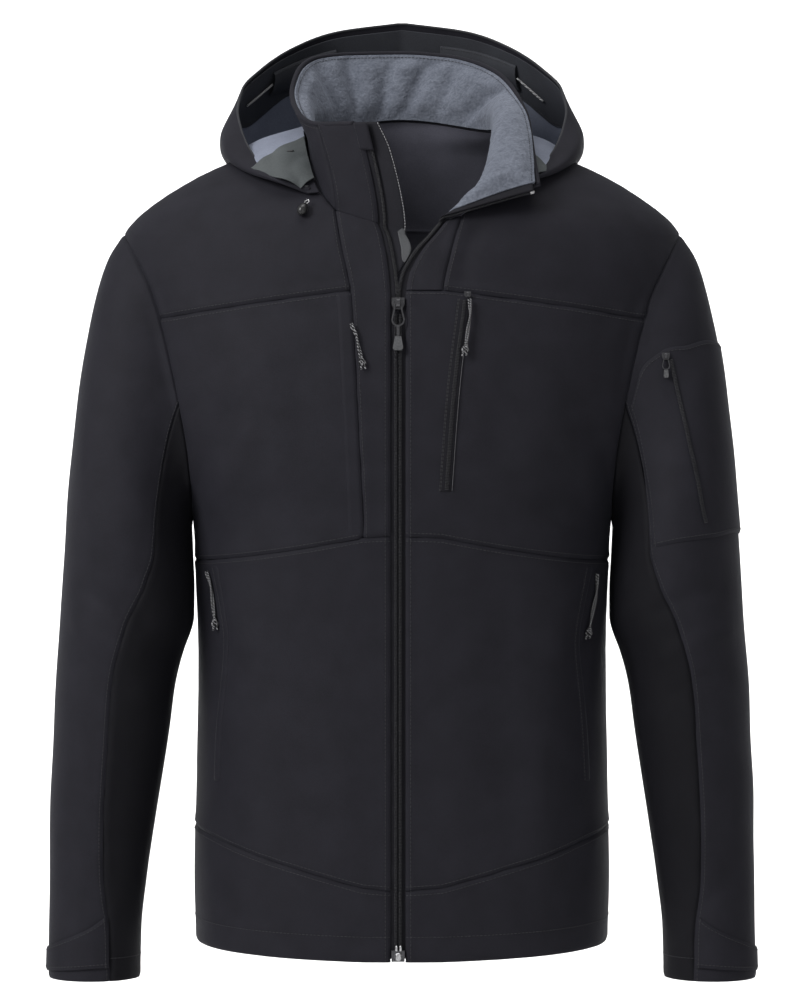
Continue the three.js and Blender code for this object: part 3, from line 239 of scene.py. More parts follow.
# Soft creases listed in the front view: both ends, half width and height out of the cloth
# Each bows to one side in its middle and fades over a share of its length at both ends
CREASE_BOW, CREASE_TAPER = 5, 0.15
FRONT_CREASES = [
    (-192, -322, -150, -246, 11, -1.9), (-176, -346, -132, -268, 10, 1.5), (-168, -372, -118, -330, 10, -1.1),
    (-214, -150, -192, -262, 9, -1.5), (-126, -196, -104, -330, 20, 1.4), (-88, -200, -80, -300, 16, -0.9),
    (-158, -396, -128, -470, 12, 1.5), (-136, -410, -118, -640, 17, 1.8), (-84, -430, -92, -652, 18, -1.5),
    (-50, -520, -46, -655, 14, 1.0), (-166, -600, -150, -690, 12, -1.2),
    (190, -328, 146, -240, 11, -1.9), (178, -350, 128, -262, 10, 1.6), (166, -378, 112, -336, 10, -1.2),
    (212, -146, 196, -256, 9, -1.4), (134, -190, 112, -322, 20, 1.5), (98, -214, 84, -312, 14, -0.9),
    (18, -106, 13, -146, 6, -1.6), (70, -90, 52, -150, 8, -1.8), (160, -402, 134, -476, 12, 1.5),
    (138, -420, 124, -650, 18, 1.9), (88, -410, 98, -640, 18, -1.6), (52, -500, 58, -656, 15, 1.1),
    (168, -604, 150, -694, 12, -1.2),
    (-262, -196, -232, -300, 13, -1.5), (-280, -258, -262, -372, 13, 1.4), (-286, -404, -216, -440, 9, -2.2),
    (-292, -436, -222, -470, 9, 1.8), (-284, -470, -230, -500, 8, -1.4), (-250, -520, -262, -640, 12, 1.4),
    (-284, -560, -288, -668, 11, -1.2), (-296, -664, -252, -690, 7, -1.0),
    (262, -188, 236, -292, 13, -1.4), (282, -410, 214, -436, 9, -2.0), (294, -446, 224, -474, 9, 1.8),
    (286, -482, 232, -506, 8, -1.4), (252, -528, 266, -636, 12, 1.4), (286, -566, 290, -672, 11, -1.2),
    (298, -668, 256, -694, 7, -1.0),
]
BACK_CREASES = [
    (-186, -330, -140, -238, 12, -2.0), (-170, -362, -112, -300, 12, 1.6), (-206, -160, -176, -262, 11, -1.4),
    (-96, -210, -84, -360, 22, 1.5), (-20, -180, -12, -330, 24, -1.1), (-130, -420, -112, -620, 20, 1.9),
    (-60, -450, -70, -640, 20, -1.6), (60, -470, 52, -650, 18, 1.4), (188, -336, 144, -246, 12, -1.9),
    (172, -368, 118, -304, 12, 1.7), (204, -156, 180, -258, 11, -1.4), (94, -220, 88, -350, 20, 1.4),
    (128, -430, 118, -628, 19, -1.8), (-292, -420, -226, -452, 10, -2.2), (-288, -462, -228, -488, 9, 1.8),
    (290, -416, 226, -450, 10, -2.2), (286, -458, 230, -484, 9, 1.8), (-270, -560, -276, -660, 12, 1.3),
    (270, -556, 278, -662, 12, 1.3),
]


def bell(x):
    return np.exp(-np.square(x))


def mix(a, b, t):
    return a + (b - a) * t


# Soft step from 0 to 1
def ease(t):
    return t * t * (3 - 2 * t)


def unit(v):
    return v / np.maximum(np.linalg.norm(v, axis=-1, keepdims=True), 1e-9)


# Places on a line of points with three named columns
def place_on(tab, at):
    return np.stack([look(tab, axis, at) for axis in "xyz"], axis=-1)


# Columns of values read at lengths along a line
def read_along(at, s, values):
    return np.stack([np.interp(at, s, column) for column in values.T], axis=-1)


def power(value, p):
    return np.sign(value) * np.abs(value) ** p


def turn_between(a, b):
    return (a - b + 540) % 360 - 180


# Outer face of the body at an angle round it (0 at the front, 90 degrees at the wearer's left) and a height
def body_point(angle, z):
    p = 2 / look(SECTIONS, "power", z)
    side = look(SECTIONS, "side", z)
    c = np.cos(angle)
    depth = np.where(c > 0, look(SECTIONS, "front", z) + side, look(SECTIONS, "back", z) - side)
    out = 0.0
    for at, height, wide, tall, depth_out in BODY_FOLDS:
        out = out + depth_out * bell(turn_between(np.degrees(angle), at) / wide) * bell((z - height) / tall)
    half = look(SECTIONS, "half", z) + out * np.abs(np.sin(angle))
    x = half * power(np.sin(angle), p)
    return np.stack([x, side - (depth + out) * power(c, p), z + 0 * x], axis=-1)


def angle_at(x, z):
    share = np.minimum(1.0, np.abs(x) / look(SECTIONS, "half", z))
    return np.arcsin(share ** (look(SECTIONS, "power", z) / 2))


# Seam level below a row and the share of the way up to the next
def level_of(row):
    level = np.clip(np.searchsorted(FIRST_ROW, row, side="right") - 1, 0, 5)
    v = (row - FIRST_ROW[level]) / np.diff(FIRST_ROW)[level]
    above = np.where(level == 3, np.abs(v) ** 1.7, np.where(level == 4, 1 - (1 - v) ** 2, v))
    return level, above


def front_surface(side):
    left = side == "left"
    sign = 1 if left else -1
    centre, princess = FRONT_LEVELS["centre"].copy(), FRONT_LEVELS["princess"].copy()
    if left:
        centre[6], princess[6] = NECK_LEFT["centre"], NECK_LEFT["princess"]
    side_z, level_off = FRONT_LEVELS["side"], FRONT_LEVELS["ease"]

    def height_at(k, across, column):
        u = np.maximum(across, 0)
        plain = mix(princess[k], side_z[k], 1 - (1 - u) ** level_off[k])
        body = np.where(k == 6, princess[k] * (1 - u) ** 1.5, plain)
        return np.where(column <= STRIP, mix(centre[k], princess[k], column / STRIP), body)

    def princess_angle(z):
        return angle_at(look(PRINCESS[side], "x", z), z)

    def point(column, row):
        column, row = np.broadcast_arrays(np.asarray(column, float), np.asarray(row, float))
        level, above = level_of(row)
        across = (column - STRIP) / (SIDE - STRIP)
        z = mix(height_at(level, across, column), height_at(level + 1, across, column), above)
        edge = angle_at(look(FRONT_EDGE[side], "x", z), z) * sign
        strip = mix(edge, sign * princess_angle(z), column / STRIP)
        zp = mix(princess[level], princess[level + 1], above)
        zs = mix(side_z[level], side_z[level + 1], above)
        end = np.where(level >= 3, angle_at(look(ARMHOLE, "front", zs), zs), np.pi / 2)
        panel = sign * mix(princess_angle(zp), end, across)
        shoulder_end = angle_at(look(ARMHOLE, "front", side_z[5]), side_z[5])
        shoulder = mix(princess_angle(princess[5]), shoulder_end, across)
        neck_z = height_at(np.full(level.shape, 6), across, column)
        neck = np.where(across >= 1, np.pi / 2, angle_at(look(NECK, "x", neck_z), neck_z))
        top = sign * mix(shoulder, neck, above)
        angle = np.where(column <= STRIP, strip, np.where(level < 5, panel, top))
        return body_point(angle, z)

    return point, sign


def back_surface(column, row):
    column, row = np.broadcast_arrays(np.asarray(column, float), np.asarray(row, float))
    level, above = level_of(row)
    across = np.abs(column) / BACK_SIDE
    zs = mix(BACK_LEVELS["side"][level], BACK_LEVELS["side"][level + 1], above)
    zc = mix(BACK_LEVELS["centre"][level], BACK_LEVELS["centre"][level + 1], above)
    z = mix(zc, zs, ease(across))
    is_open = (level == 3) | (level == 4)
    end = np.where(is_open, np.pi - angle_at(look(ARMHOLE, "back", zs), zs), np.pi / 2)
    angle = mix(np.pi, end, across)
    return body_point(np.where(column > 0, angle, -angle), z)


FRONT = {side: front_surface(side) for side in ("right", "left")}


# Neck seam by collar column: right front, round the back, left front
def neck_seam(column):
    column = np.asarray(column, float)
    right = FRONT["right"][0](np.clip(column, 0, SIDE), NECK_ROW)
    behind = back_surface(np.clip(column - COLLAR_COLUMNS / 2, -BACK_SIDE, BACK_SIDE), NECK_ROW)
    left = FRONT["left"][0](np.clip(COLLAR_COLUMNS - column, 0, SIDE), NECK_ROW)
    at = column[..., None]
    return np.where(at <= SIDE, right, np.where(at < COLLAR_COLUMNS - SIDE, behind, left))


def collar_surface(column, up):
    column, up = np.broadcast_arrays(np.asarray(column, float), np.asarray(up, float))
    foot = neck_seam(column)
    top = place_on(COLLAR_TOP, column)
    rise = look(COLLAR_TOP, "rise", column)
    bulge = look(COLLAR_TOP, "bulge", column)
    zero = np.zeros_like(rise)
    first = foot + np.stack([zero, -0.12 * rise, rise], axis=-1)
    over = mix(foot, top, 0.68) + np.stack([zero, -bulge, bulge], axis=-1)
    t = up[..., None]
    return foot * (1 - t) ** 3 + first * 3 * t * (1 - t) ** 2 + over * 3 * t * t * (1 - t) + top * t ** 3


def sleeve_angle(column, ring):
    front = look(FRONT_SEAM, "angle", ring)
    first = mix(0.0, front, column / SEAM_COLUMN)
    under = mix(front, BACK_SEAM_ANGLE, (column - SEAM_COLUMN) / (BACK_SEAM_COLUMN - SEAM_COLUMN))
    last = mix(BACK_SEAM_ANGLE, 360.0, (column - BACK_SEAM_COLUMN) / (ARM_COLUMNS - BACK_SEAM_COLUMN))
    return np.where(column <= SEAM_COLUMN, first, np.where(column <= BACK_SEAM_COLUMN, under, last))


def sleeve_ring(degrees, ring):
    c = np.cos(np.radians(degrees))
    swell = 0.0
    for at, where, wide, tall, out in SLEEVE_FOLDS:
        swell = swell + out * bell(turn_between(degrees, at) / wide) * bell((ring - where) / tall)
    out_x, out_z = look(SLEEVE, "outX", ring), look(SLEEVE, "outZ", ring)
    in_x, in_z = look(SLEEVE, "inX", ring), look(SLEEVE, "inZ", ring)
    half_x, half_z = (out_x - in_x) / 2, (out_z - in_z) / 2
    reach = c * (1 + swell / np.hypot(half_x, half_z))
    y = look(SLEEVE, "y", ring) - (look(SLEEVE, "depth", ring) + swell) * np.sin(np.radians(degrees))
    return np.stack([(out_x + in_x) / 2 + half_x * reach, y, (out_z + in_z) / 2 + half_z * reach], axis=-1)


# Sleeve by column round it, from its outer side to the front, and ring down it
def sleeve_surface(side):
    sign = 1 if side == "left" else -1
    front_point = FRONT["left"][0]

    def point(column, ring):
        column, ring = np.broadcast_arrays(np.asarray(column, float), np.asarray(ring, float))
        column = column % ARM_COLUMNS
        down = front_point(SIDE, SHOULDER - np.clip(column, 0, UNDERARM))
        up = back_surface(BACK_SIDE, np.clip(column, UNDERARM, SHOULDER))
        start = np.where((column <= UNDERARM)[..., None], down, up)
        shift = start - sleeve_ring(sleeve_angle(column, 0 * ring), 0 * ring)
        fade = np.maximum(0, 1 - ring / 4) ** 2
        p = sleeve_ring(sleeve_angle(column, ring), ring) + shift * fade[..., None]
        return p * np.array([sign, 1, 1])

    return point, sign


def inside_body(p, grow):
    z = p[..., 2] - grow
    side = look(SECTIONS, "side", z)
    depth = np.where(p[..., 1] < side, look(SECTIONS, "front", z) + side, look(SECTIONS, "back", z) - side)
    n = look(SECTIONS, "power", z)
    share = (np.abs(p[..., 0]) / look(SECTIONS, "half", z)) ** n + (np.abs(p[..., 1] - side) / depth) ** n
    return (share < 1) & (z <= SECTIONS["z"][-1])


def rest_on_body(p, gap):
    p = p.copy()
    low = inside_body(p, gap)
    while low.any():
        p[..., 2] += 0.5 * low
        low = inside_body(p, gap)
    return p


# Place on a smooth curve through several points, worked out for many such curves at once
def through(points, t):
    at = t * (len(points) - 1)
    whole = np.clip(np.floor(at).astype(int), 0, len(points) - 2)
    w = (at - whole)[..., None]
    ends = [2 * points[0] - points[1], *points, 2 * points[-1] - points[-2]]
    stack = np.stack(ends)
    take = [np.take_along_axis(stack, (whole + k)[None, ..., None], axis=0)[0] for k in range(4)]
    gaps = [np.sum((take[k + 1] - take[k]) ** 2, axis=-1, keepdims=True) ** 0.25 for k in range(3)]
    a, b, c, d = take
    g0, g1, g2 = gaps
    g1 = np.where(g1 < 1e-4, 1.0, g1)
    g0 = np.where(g0 < 1e-4, g1, g0)
    g2 = np.where(g2 < 1e-4, g1, g2)
    out = ((b - a) / g0 - (c - a) / (g0 + g1) + (c - b) / g1) * g1
    into = ((c - b) / g1 - (d - b) / (g1 + g2) + (d - c) / g2) * g1
    return b + out * w + (3 * (c - b) - 2 * out - into) * w ** 2 + (2 * (b - c) + out + into) * w ** 3


def hood_surface(column, up):
    column, up = np.broadcast_arrays(np.asarray(column, float), np.asarray(up, float))
    half = HOOD_COLUMNS / 2
    w = 1 - np.abs(column - half) / half
    sign = np.where(column <= half, -1, 1)
    seam_from = np.where(sign < 0, HOOD_FROM_COLUMN, COLLAR_COLUMNS - HOOD_FROM_COLUMN)
    foot = neck_seam(mix(seam_from, COLLAR_COLUMNS / 2, w))
    away = unit(np.stack([foot[..., 0], foot[..., 1] - HOOD_MIDDLE_Y, 0 * w], axis=-1))
    foot = foot + away * HOOD_OFF_COLLAR
    to_side = np.stack([sign, 1 + 0 * w, 1 + 0 * w], axis=-1)
    fold = place_on(HOOD_FOLD, w) * to_side
    rim = place_on(HOOD_RIM, w) * to_side
    swell = np.minimum(1, w * 3)[..., None]
    rest = mix(foot, fold, 0.5) + swell * np.array([0, 0, HOOD_RISE])
    bulge = mix(fold, rim, 0.5) + away * HOOD_BULGE * swell
    line = [rest_on_body(p, HOOD_ABOVE_BODY) for p in (foot, rest, fold, bulge, rim)]
    return through(line, up)


# Directions out of a grid of points, whose sign says which way the columns run
def normals(points, sign):
    du = np.gradient(points, axis=0)
    dv = np.gradient(points, axis=1)
    return unit(np.cross(du, dv) * sign)


# Smooth unevenness without a repeat, about one unit high
def ripple(points, scale, seed):
    rng = np.random.default_rng(seed)
    total = 0.0
    for _ in range(7):
        direction = unit(rng.normal(size=3))
        length = scale * rng.uniform(0.7, 1.6)
        total = total + np.sin(points @ direction * 2 * np.pi / length + rng.uniform(0, 6.3))
    return total / 3.0


def crease_height(points, n):
    x, z = points[..., 0], points[..., 2]
    total = 0.0
    for creases, facing in ((FRONT_CREASES, -1), (BACK_CREASES, 1)):
        mask = np.clip(facing * n[..., 1] * 1.6, 0, 1)
        for x0, z0, x1, z1, width, out in creases:
            along = np.array([x1 - x0, z1 - z0])
            length = np.hypot(*along)
            share = ((x - x0) * along[0] + (z - z0) * along[1]) / length ** 2
            bow = CREASE_BOW * np.sin(np.pi * np.clip(share, 0, 1))
            off = ((x - x0) * along[1] - (z - z0) * along[0]) / length - bow
            beyond = np.maximum(0, np.abs(share - 0.5) - 0.5 + CREASE_TAPER) / CREASE_TAPER
            total = total + out * mask * bell(off / width) * bell(beyond)
    return total


def arc_lengths(points, axis):
    gaps = np.linalg.norm(np.diff(points, axis=axis), axis=-1)
    pad = [(0, 0), (0, 0)]
    pad[axis] = (1, 0)
    return np.pad(np.cumsum(gaps, axis=axis), pad)


# Shares of a length about one step apart, with closer ones beside both ends for the seam grooves
def shares_of(length, step):
    even = np.linspace(0, 1, max(3, int(np.ceil(length / step))) + 1)
    if length < 6 * step:
        return even
    close = np.array(BESIDE_SEAM) / length
    return np.unique(np.concatenate([even, close, 1 - close]))


# Patch made of a grid of points and the directions out of it
def grid_patch(points, n):
    s, t = arc_lengths(points, 0), arc_lengths(points, 1)
    return {"flat": points, "points": points, "n": np.broadcast_to(n, points.shape), "s": s, "t": t}


# Grid of places about one step apart, evenly spaced along the second way
def spaced(surface, u, v, step=None):
    step = step or STEP
    us, vs = np.meshgrid(np.linspace(*u, 13), np.linspace(*v, 161), indexing="ij")
    rough = surface(us, vs)
    across = arc_lengths(rough, 0)[-1].max()
    along = arc_lengths(rough, 1)
    share = (along / np.maximum(along[:, -1:], 1e-9)).mean(axis=0)
    even_v = np.interp(shares_of(along[:, -1].max(), step), share, vs[0])
    return np.meshgrid(mix(*u, shares_of(across, step)), even_v, indexing="ij")


# Distance from an edge of a patch
def edge_distance(s, t, edge):
    return (s, s[-1:] - s, t, t[:, -1:] - t)[edge]


# One patch of cloth: its outer points, directions and lengths along both ways, with rolled seams
# roll gives the depth of the seam groove at the first and last column and at the lower and upper row
# Creases die out towards the edges named in calm
def patch(
    surface, sign, u, v, roll=EVEN_ROLL, lift=0.0, creased=True, seed=1, step=None, calm=(), smooth=0,
):
    us, vs = spaced(surface, u, v, step)
    flat = surface(us, vs)
    for _ in range(smooth):
        flat[:, 1:-1] = (flat[:, :-2] + 2 * flat[:, 1:-1] + flat[:, 2:]) / 4
    n = normals(flat, sign)
    s, t = arc_lengths(flat, 0), arc_lengths(flat, 1)
    out = np.full(s.shape, float(lift))
    if creased:
        uneven = crease_height(flat, n) + UNEVEN["height"] * ripple(flat, UNEVEN["length"], seed)
        for edge in calm:
            uneven = uneven * ease(np.clip(edge_distance(s, t, edge) / CALM_REACH, 0, 1))
        out = out + uneven
    for edge, depth in enumerate(roll):
        if depth:
            d = edge_distance(s, t, edge)
            groove = bell(d / GROOVE["width"]) * GROOVE["depth"]
            ridge = bell((d - GROOVE["ridge_at"]) / GROOVE["ridge_width"]) * GROOVE["ridge_height"]
            pucker = bell(d / GROOVE["pucker_reach"]) * GROOVE["pucker"] * ripple(flat, 17, seed + 5)
            out = out + depth * (ridge - groove + pucker)
    return {"flat": flat, "points": flat + n * out[..., None], "n": n, "s": s, "t": t, "u": us, "v": vs}


# Least width stated for a narrow strip of cloth, with its turned edges
LEAST_WIDTH = 10.5


# Width, length and area of the cloth laid flat, in metres
def flat_size(patches):
    width = max(LEAST_WIDTH, *(float(p["s"][-1].max()) for p in patches))
    length = sum(float(p["t"][:, -1].max()) for p in patches)
    area = 0.0
    for p in patches:
        q = p["flat"]
        a = np.cross(q[1:, 1:] - q[:-1, :-1], q[1:, :-1] - q[:-1, 1:])
        area += float(np.linalg.norm(a, axis=-1).sum() / 2)
    area = min(area, width * length)
    return (width * MM, length * MM), area * MM * MM


# Mesh of one or more patches, each with an inner face one wall inside and closed edges
def shell_mesh(name, patches, wall, sign_of_face):
    vertices, faces, uvs, inner_faces = [], [], [], []
    start = 0
    for p in patches:
        rows, cols = p["points"].shape[:2]
        outer = p["points"].reshape(-1, 3)
        inner = (p["points"] - p["n"] * wall).reshape(-1, 3)
        count = rows * cols
        ids = np.arange(count).reshape(rows, cols) + start
        quads = np.stack([ids[:-1, :-1], ids[1:, :-1], ids[1:, 1:], ids[:-1, 1:]], axis=-1).reshape(-1, 4)
        rim = np.concatenate([ids[:, 0], ids[-1, 1:], ids[-2::-1, -1], ids[0, -2:0:-1]])
        after = np.roll(rim, -1)
        edge = np.stack([rim, rim + count, after + count, after], axis=-1)
        block = [quads, quads[:, ::-1] + count, edge]
        block = np.concatenate(block if sign_of_face > 0 else [b[:, ::-1] for b in block])
        within = np.zeros(len(block), bool)
        within[len(quads):2 * len(quads)] = True
        inner_faces.append(within)
        faces.append(block)
        vertices += [outer, inner]
        metric = np.stack([p["s"].reshape(-1), p["t"].reshape(-1)], axis=-1) * MM
        uvs += [metric, metric]
        start += 2 * count
    vertices, faces, uvs = np.concatenate(vertices) * MM, np.concatenate(faces), np.concatenate(uvs)
    mesh = bpy.data.meshes.new(name)
    mesh.from_pydata(vertices.tolist(), [], faces.tolist())
    layer = mesh.uv_layers.new(name="metric")
    layer.data.foreach_set("uv", uvs[faces.reshape(-1)].astype(np.float32).reshape(-1))
    within = mesh.attributes.new("inner_face", "BOOLEAN", "FACE")
    within.data.foreach_set("value", np.concatenate(inner_faces))
    mesh.shade_smooth()
    return mesh


def new_object(name, mesh, material, nodes=(), slot=None, body=BODY):
    piece = bpy.data.objects.new(name, mesh)
    bpy.context.scene.collection.objects.link(piece)
    mesh.materials.append(material)
    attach(piece, body)
    if nodes:
        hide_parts(*nodes)
    return piece


# Piece of cloth on the form of a node, with its own material on the inner face where one is given
def cloth(node, patches, material, slot, wall=WALL, sign=1, on="back_yoke", inside=None):
    mesh = shell_mesh(node + "_cloth", patches, wall, sign)
    piece = new_object(node + "_cloth", mesh, material, [node], slot)
    if inside:
        mesh.materials.append(inside)
        for face, within in zip(mesh.polygons, mesh.attributes["inner_face"].data):
            face.material_index = int(within.value)
    flat, area = flat_size(patches)
    return piece


# Piece of the outer softshell, with the knitted back of the cloth on its inner face; that grey back is partly
# the back's own colour and partly painted light for the shaded insides
def lined(node, patches, sign, **facts):
    return cloth(node, patches, CHARCOAL, "softshell", sign=sign, inside=JERSEY_WITH_PAINTED_LIGHT, **facts)


# Line of points at a distance from one edge of a patch
def beside(p, edge, distance, lift=0.2):
    grids = np.concatenate([p["points"], p["n"]], axis=-1)
    s = p["s"]
    if edge in (LOWER, UPPER):
        grids, s = grids.transpose(1, 0, 2), p["t"].T
    rows = []
    for k in range(s.shape[1]):
        d = distance if edge in (FIRST, LOWER) else s[-1, k] - distance
        rows.append(read_along(d, s[:, k], grids[:, k]))
    rows = np.array(rows)
    return rows[:, :3] + rows[:, 3:] * lift, rows[:, 3:]


# The same patch seen from its inner side
def turned_in(p, depth):
    return dict(p, points=p["points"] - p["n"] * depth, n=-p["n"])


STITCH_LINES = []


def topstitch(p, edges, distance=SEAM_STITCH):
    for edge in edges:
        STITCH_LINES.append(beside(p, edge, distance))


def line_lengths(points):
    return np.concatenate([[0], np.cumsum(np.linalg.norm(np.diff(points, axis=0), axis=1))])


# Even points along a line with the directions out of the cloth there
def even(points, n, pitch):
    s = line_lengths(points)
    at = np.arange(pitch / 2, s[-1], pitch)
    along = unit(read_along(at + 0.5, s, points) - read_along(at - 0.5, s, points))
    out = read_along(at, s, n)
    out = unit(out - along * np.sum(out * along, axis=1, keepdims=True))
    return read_along(at, s, points), along, out


# Mesh of small rounded bars at places, each with its own directions and half sizes along, across and out
def bars(name, place, along, out, half, material, **facts):
    across = np.cross(along, out)
    profile = np.array([(1, 0), (0.5, 0.8), (-0.5, 0.8), (-1, 0), (-0.5, -0.8), (0.5, -0.8)])
    ends = np.array([(-1, 0.45), (-0.6, 1), (0.6, 1), (1, 0.45)])
    corners = []
    for at, size in ends:
        for px, py in profile:
            corners.append((at * half[0], px * half[1] * size, py * half[2] * size))
    corners = np.array(corners)
    vertices = (
        place[:, None]
        + along[:, None] * corners[None, :, :1]
        + across[:, None] * corners[None, :, 1:2]
        + out[:, None] * corners[None, :, 2:]
    ).reshape(-1, 3)
    faces = []
    for ring in range(3):
        for k in range(6):
            a, b = ring * 6 + k, ring * 6 + (k + 1) % 6
            faces.append((a, b, b + 6, a + 6))
    base = np.array(faces)
    shifts = np.arange(len(place))[:, None, None] * 24
    sides = (base[None] + shifts).reshape(-1, 4)
    caps = np.array([[5, 4, 3, 2, 1, 0], [18, 19, 20, 21, 22, 23]])
    caps = (caps[None] + shifts).reshape(-1, 6)
    mesh = bpy.data.meshes.new(name)
    mesh.from_pydata((vertices * MM).tolist(), [], sides.tolist() + caps.tolist())
    mesh.shade_smooth()
    return new_object(name, mesh, material, **facts)


# Round tube along a line of points
def tube_mesh(name, points, radius, sides=10):
    tangent = unit(np.gradient(points, axis=0))
    side = np.cross(tangent[0], [0.3, 0.9, 0.1])
    angle = np.linspace(0, 2 * np.pi, sides, endpoint=False)[:, None]
    rings = []
    for p, t, r in zip(points, tangent, np.broadcast_to(radius, len(points))):
        side = unit(side - t * np.dot(side, t))
        rings.append(p + r * (np.cos(angle) * side + np.sin(angle) * np.cross(t, side)))
    vertices = np.concatenate(rings + [points[:1], points[-1:]])
    count = len(points)
    faces = []
    for k in range(count - 1):
        for j in range(sides):
            a, b = k * sides + j, k * sides + (j + 1) % sides
            faces.append((a, b, b + sides, a + sides))
    for j in range(sides):
        faces.append(((j + 1) % sides, j, count * sides))
        last = (count - 1) * sides
        faces.append((last + j, last + (j + 1) % sides, count * sides + 1))
    mesh = bpy.data.meshes.new(name)
    mesh.from_pydata((vertices * MM).tolist(), [], faces)
    mesh.shade_smooth()
    return mesh


def tube(name, points, radius, sides, material, **facts):
    return new_object(name, tube_mesh(name, points, radius, sides), material, **facts)


# Materials
class Shader:
    def __init__(self, name):
        self.material = bpy.data.materials.new(name)
        self.material.use_nodes = True
        self.tree = self.material.node_tree
        self.base = self.tree.nodes["Principled BSDF"]

    def node(self, kind, **values):
        node = self.tree.nodes.new(kind)
        for key, value in values.items():
            if key in node.inputs:
                node.inputs[key].default_value = value
            else:
                setattr(node, key, value)
        return node

    def link(self, out, into):
        self.tree.links.new(out, into)

    def place(self):
        return self.node("ShaderNodeTexCoord").outputs["Object"]

    def noise(self, scale, detail=3.0):
        node = self.node("ShaderNodeTexNoise", Scale=scale, Detail=detail)
        self.link(self.place(), node.inputs["Vector"])
        return node.outputs["Fac"]

    # Bands of waves along one direction, from a vector of places
    def wave(self, source, direction, scale, distortion, detail):
        node = self.node("ShaderNodeTexWave", wave_type="BANDS", bands_direction=direction, Scale=scale,
                         Distortion=distortion, Detail=detail)
        self.link(source, node.inputs["Vector"])
        return node

    def ramp(self, value, stops):
        node = self.node("ShaderNodeValToRGB")
        elements = node.color_ramp.elements
        while len(elements) < len(stops):
            elements.new(0.5)
        for element, (at, colour) in zip(elements, stops):
            element.position = at
            element.color = (*colour, 1)
        self.link(value, node.inputs["Fac"])
        return node.outputs["Color"]

    def math(self, operation, a, b):
        node = self.node("ShaderNodeMath", operation=operation)
        for socket, value in zip(node.inputs, (a, b)):
            if isinstance(value, (int, float)):
                socket.default_value = value
            else:
                self.link(value, socket)
        return node.outputs[0]

    def bump(self, height, strength, distance, normal=None):
        node = self.node("ShaderNodeBump", Strength=strength, Distance=distance)
        self.link(height, node.inputs["Height"])
        if normal:
            self.link(normal, node.inputs["Normal"])
        return node.outputs["Normal"]

    def colour(self, value, stops):
        self.link(self.ramp(value, stops), self.base.inputs["Base Color"])

    def normal(self, bump):
        self.link(bump, self.base.inputs["Normal"])

    def set(self, **values):
        for key, value in values.items():
            self.base.inputs[key.replace("_", " ")].default_value = value


# Threads of a plain weave crossing along both ways of the cloth's own lengths
def weave(shader, threads_per_metre):
    uv = shader.node("ShaderNodeUVMap", uv_map="metric").outputs["UV"]
    waves = []
    for direction in ("X", "Y"):
        node = shader.wave(uv, direction, threads_per_metre / 3.14, 1.2, 1.0)
        node.inputs["Detail Scale"].default_value = 2.0
        waves.append(node.outputs["Fac"])
    return shader.math("MULTIPLY", *waves)


# Sum of several patterns, each with its own share
def blend(shader, *parts):
    total = None
    for value, share in parts:
        part = shader.math("MULTIPLY", value, share)
        total = shader.math("ADD", total, part) if total else part
    return total


def softshell(name, dark, light, sheen=0.25, rough=0.72):
    shader = Shader(name)
    threads = weave(shader, 1400)
    mottle, fine = shader.noise(38, 4.0), shader.noise(900, 2.0)
    shader.colour(blend(shader, (mottle, 0.55), (fine, 0.45)), [(0.3, dark), (0.7, light)])
    first = shader.bump(threads, 0.25, 0.00025)
    second = shader.bump(fine, 0.18, 0.0005, first)
    shader.normal(shader.bump(shader.noise(160, 3.0), 0.12, 0.0012, second))
    shader.set(Roughness=rough, Sheen_Weight=sheen, Sheen_Roughness=0.45, Specular_IOR_Level=0.16)
    shader.set(Sheen_Tint=(0.62, 0.66, 0.8, 1))
    return shader.material


def fleece(name, dark, light):
    shader = Shader(name)
    nap, clumps, broad = shader.noise(420, 6.0), shader.noise(120, 4.0), shader.noise(22, 3.0)
    shader.colour(blend(shader, (nap, 0.5), (clumps, 0.3), (broad, 0.2)), [(0.36, dark), (0.64, light)])
    shader.normal(shader.bump(clumps, 0.5, 0.003, shader.bump(nap, 0.7, 0.0016)))
    shader.set(Roughness=0.95, Sheen_Weight=0.22, Sheen_Roughness=0.6, Specular_IOR_Level=0.1)
    shader.set(Sheen_Tint=(0.8, 0.86, 1, 1))
    return shader.material


def moulded(name, colour, rough, metal=0.0):
    shader = Shader(name)
    wear = shader.noise(700, 4.0)
    light = tuple(min(1.0, c * 1.7 + 0.01) for c in colour)
    shader.colour(wear, [(0.35, colour), (0.75, light)])
    shader.normal(shader.bump(wear, 0.15, 0.0003))
    shader.set(Roughness=rough, Metallic=metal)
    return shader.material


def braid(name, dark, light, dark_share, light_share):
    shader = Shader(name)
    strands = shader.wave(shader.place(), "DIAGONAL", 230, 3.0, 2.0).outputs["Fac"]
    shader.colour(strands, [(dark_share, dark), (light_share, light)])
    shader.normal(shader.bump(strands, 0.5, 0.0006))
    shader.set(Roughness=0.85, Sheen_Weight=0.05, Specular_IOR_Level=0.2)
    return shader.material


CHARCOAL = softshell("softshell", (0.0103, 0.01, 0.0139), (0.016, 0.0155, 0.0214), sheen=0.035)
# Darker copy of the same softshell: painted shade on the sleeves' undersides and on the sleeve pocket's zip
# band
PAINTED_SHADE_SOFTSHELL = softshell("softshell_painted_shade", (0.0038, 0.0037, 0.0054), (0.006, 0.0058, 0.0083), sheen=0.01)
# Knitted back of the softshell: its own lighter grey, raised further as painted light for the shaded insides
# of the body and sleeves
JERSEY_WITH_PAINTED_LIGHT = softshell("softshell_back_painted_light", (0.065, 0.065, 0.082), (0.097, 0.097, 0.122), sheen=0.06, rough=0.9)
FLAP = softshell("wind_flap", (0.0105, 0.0105, 0.0138), (0.0165, 0.0162, 0.021), sheen=0.03)
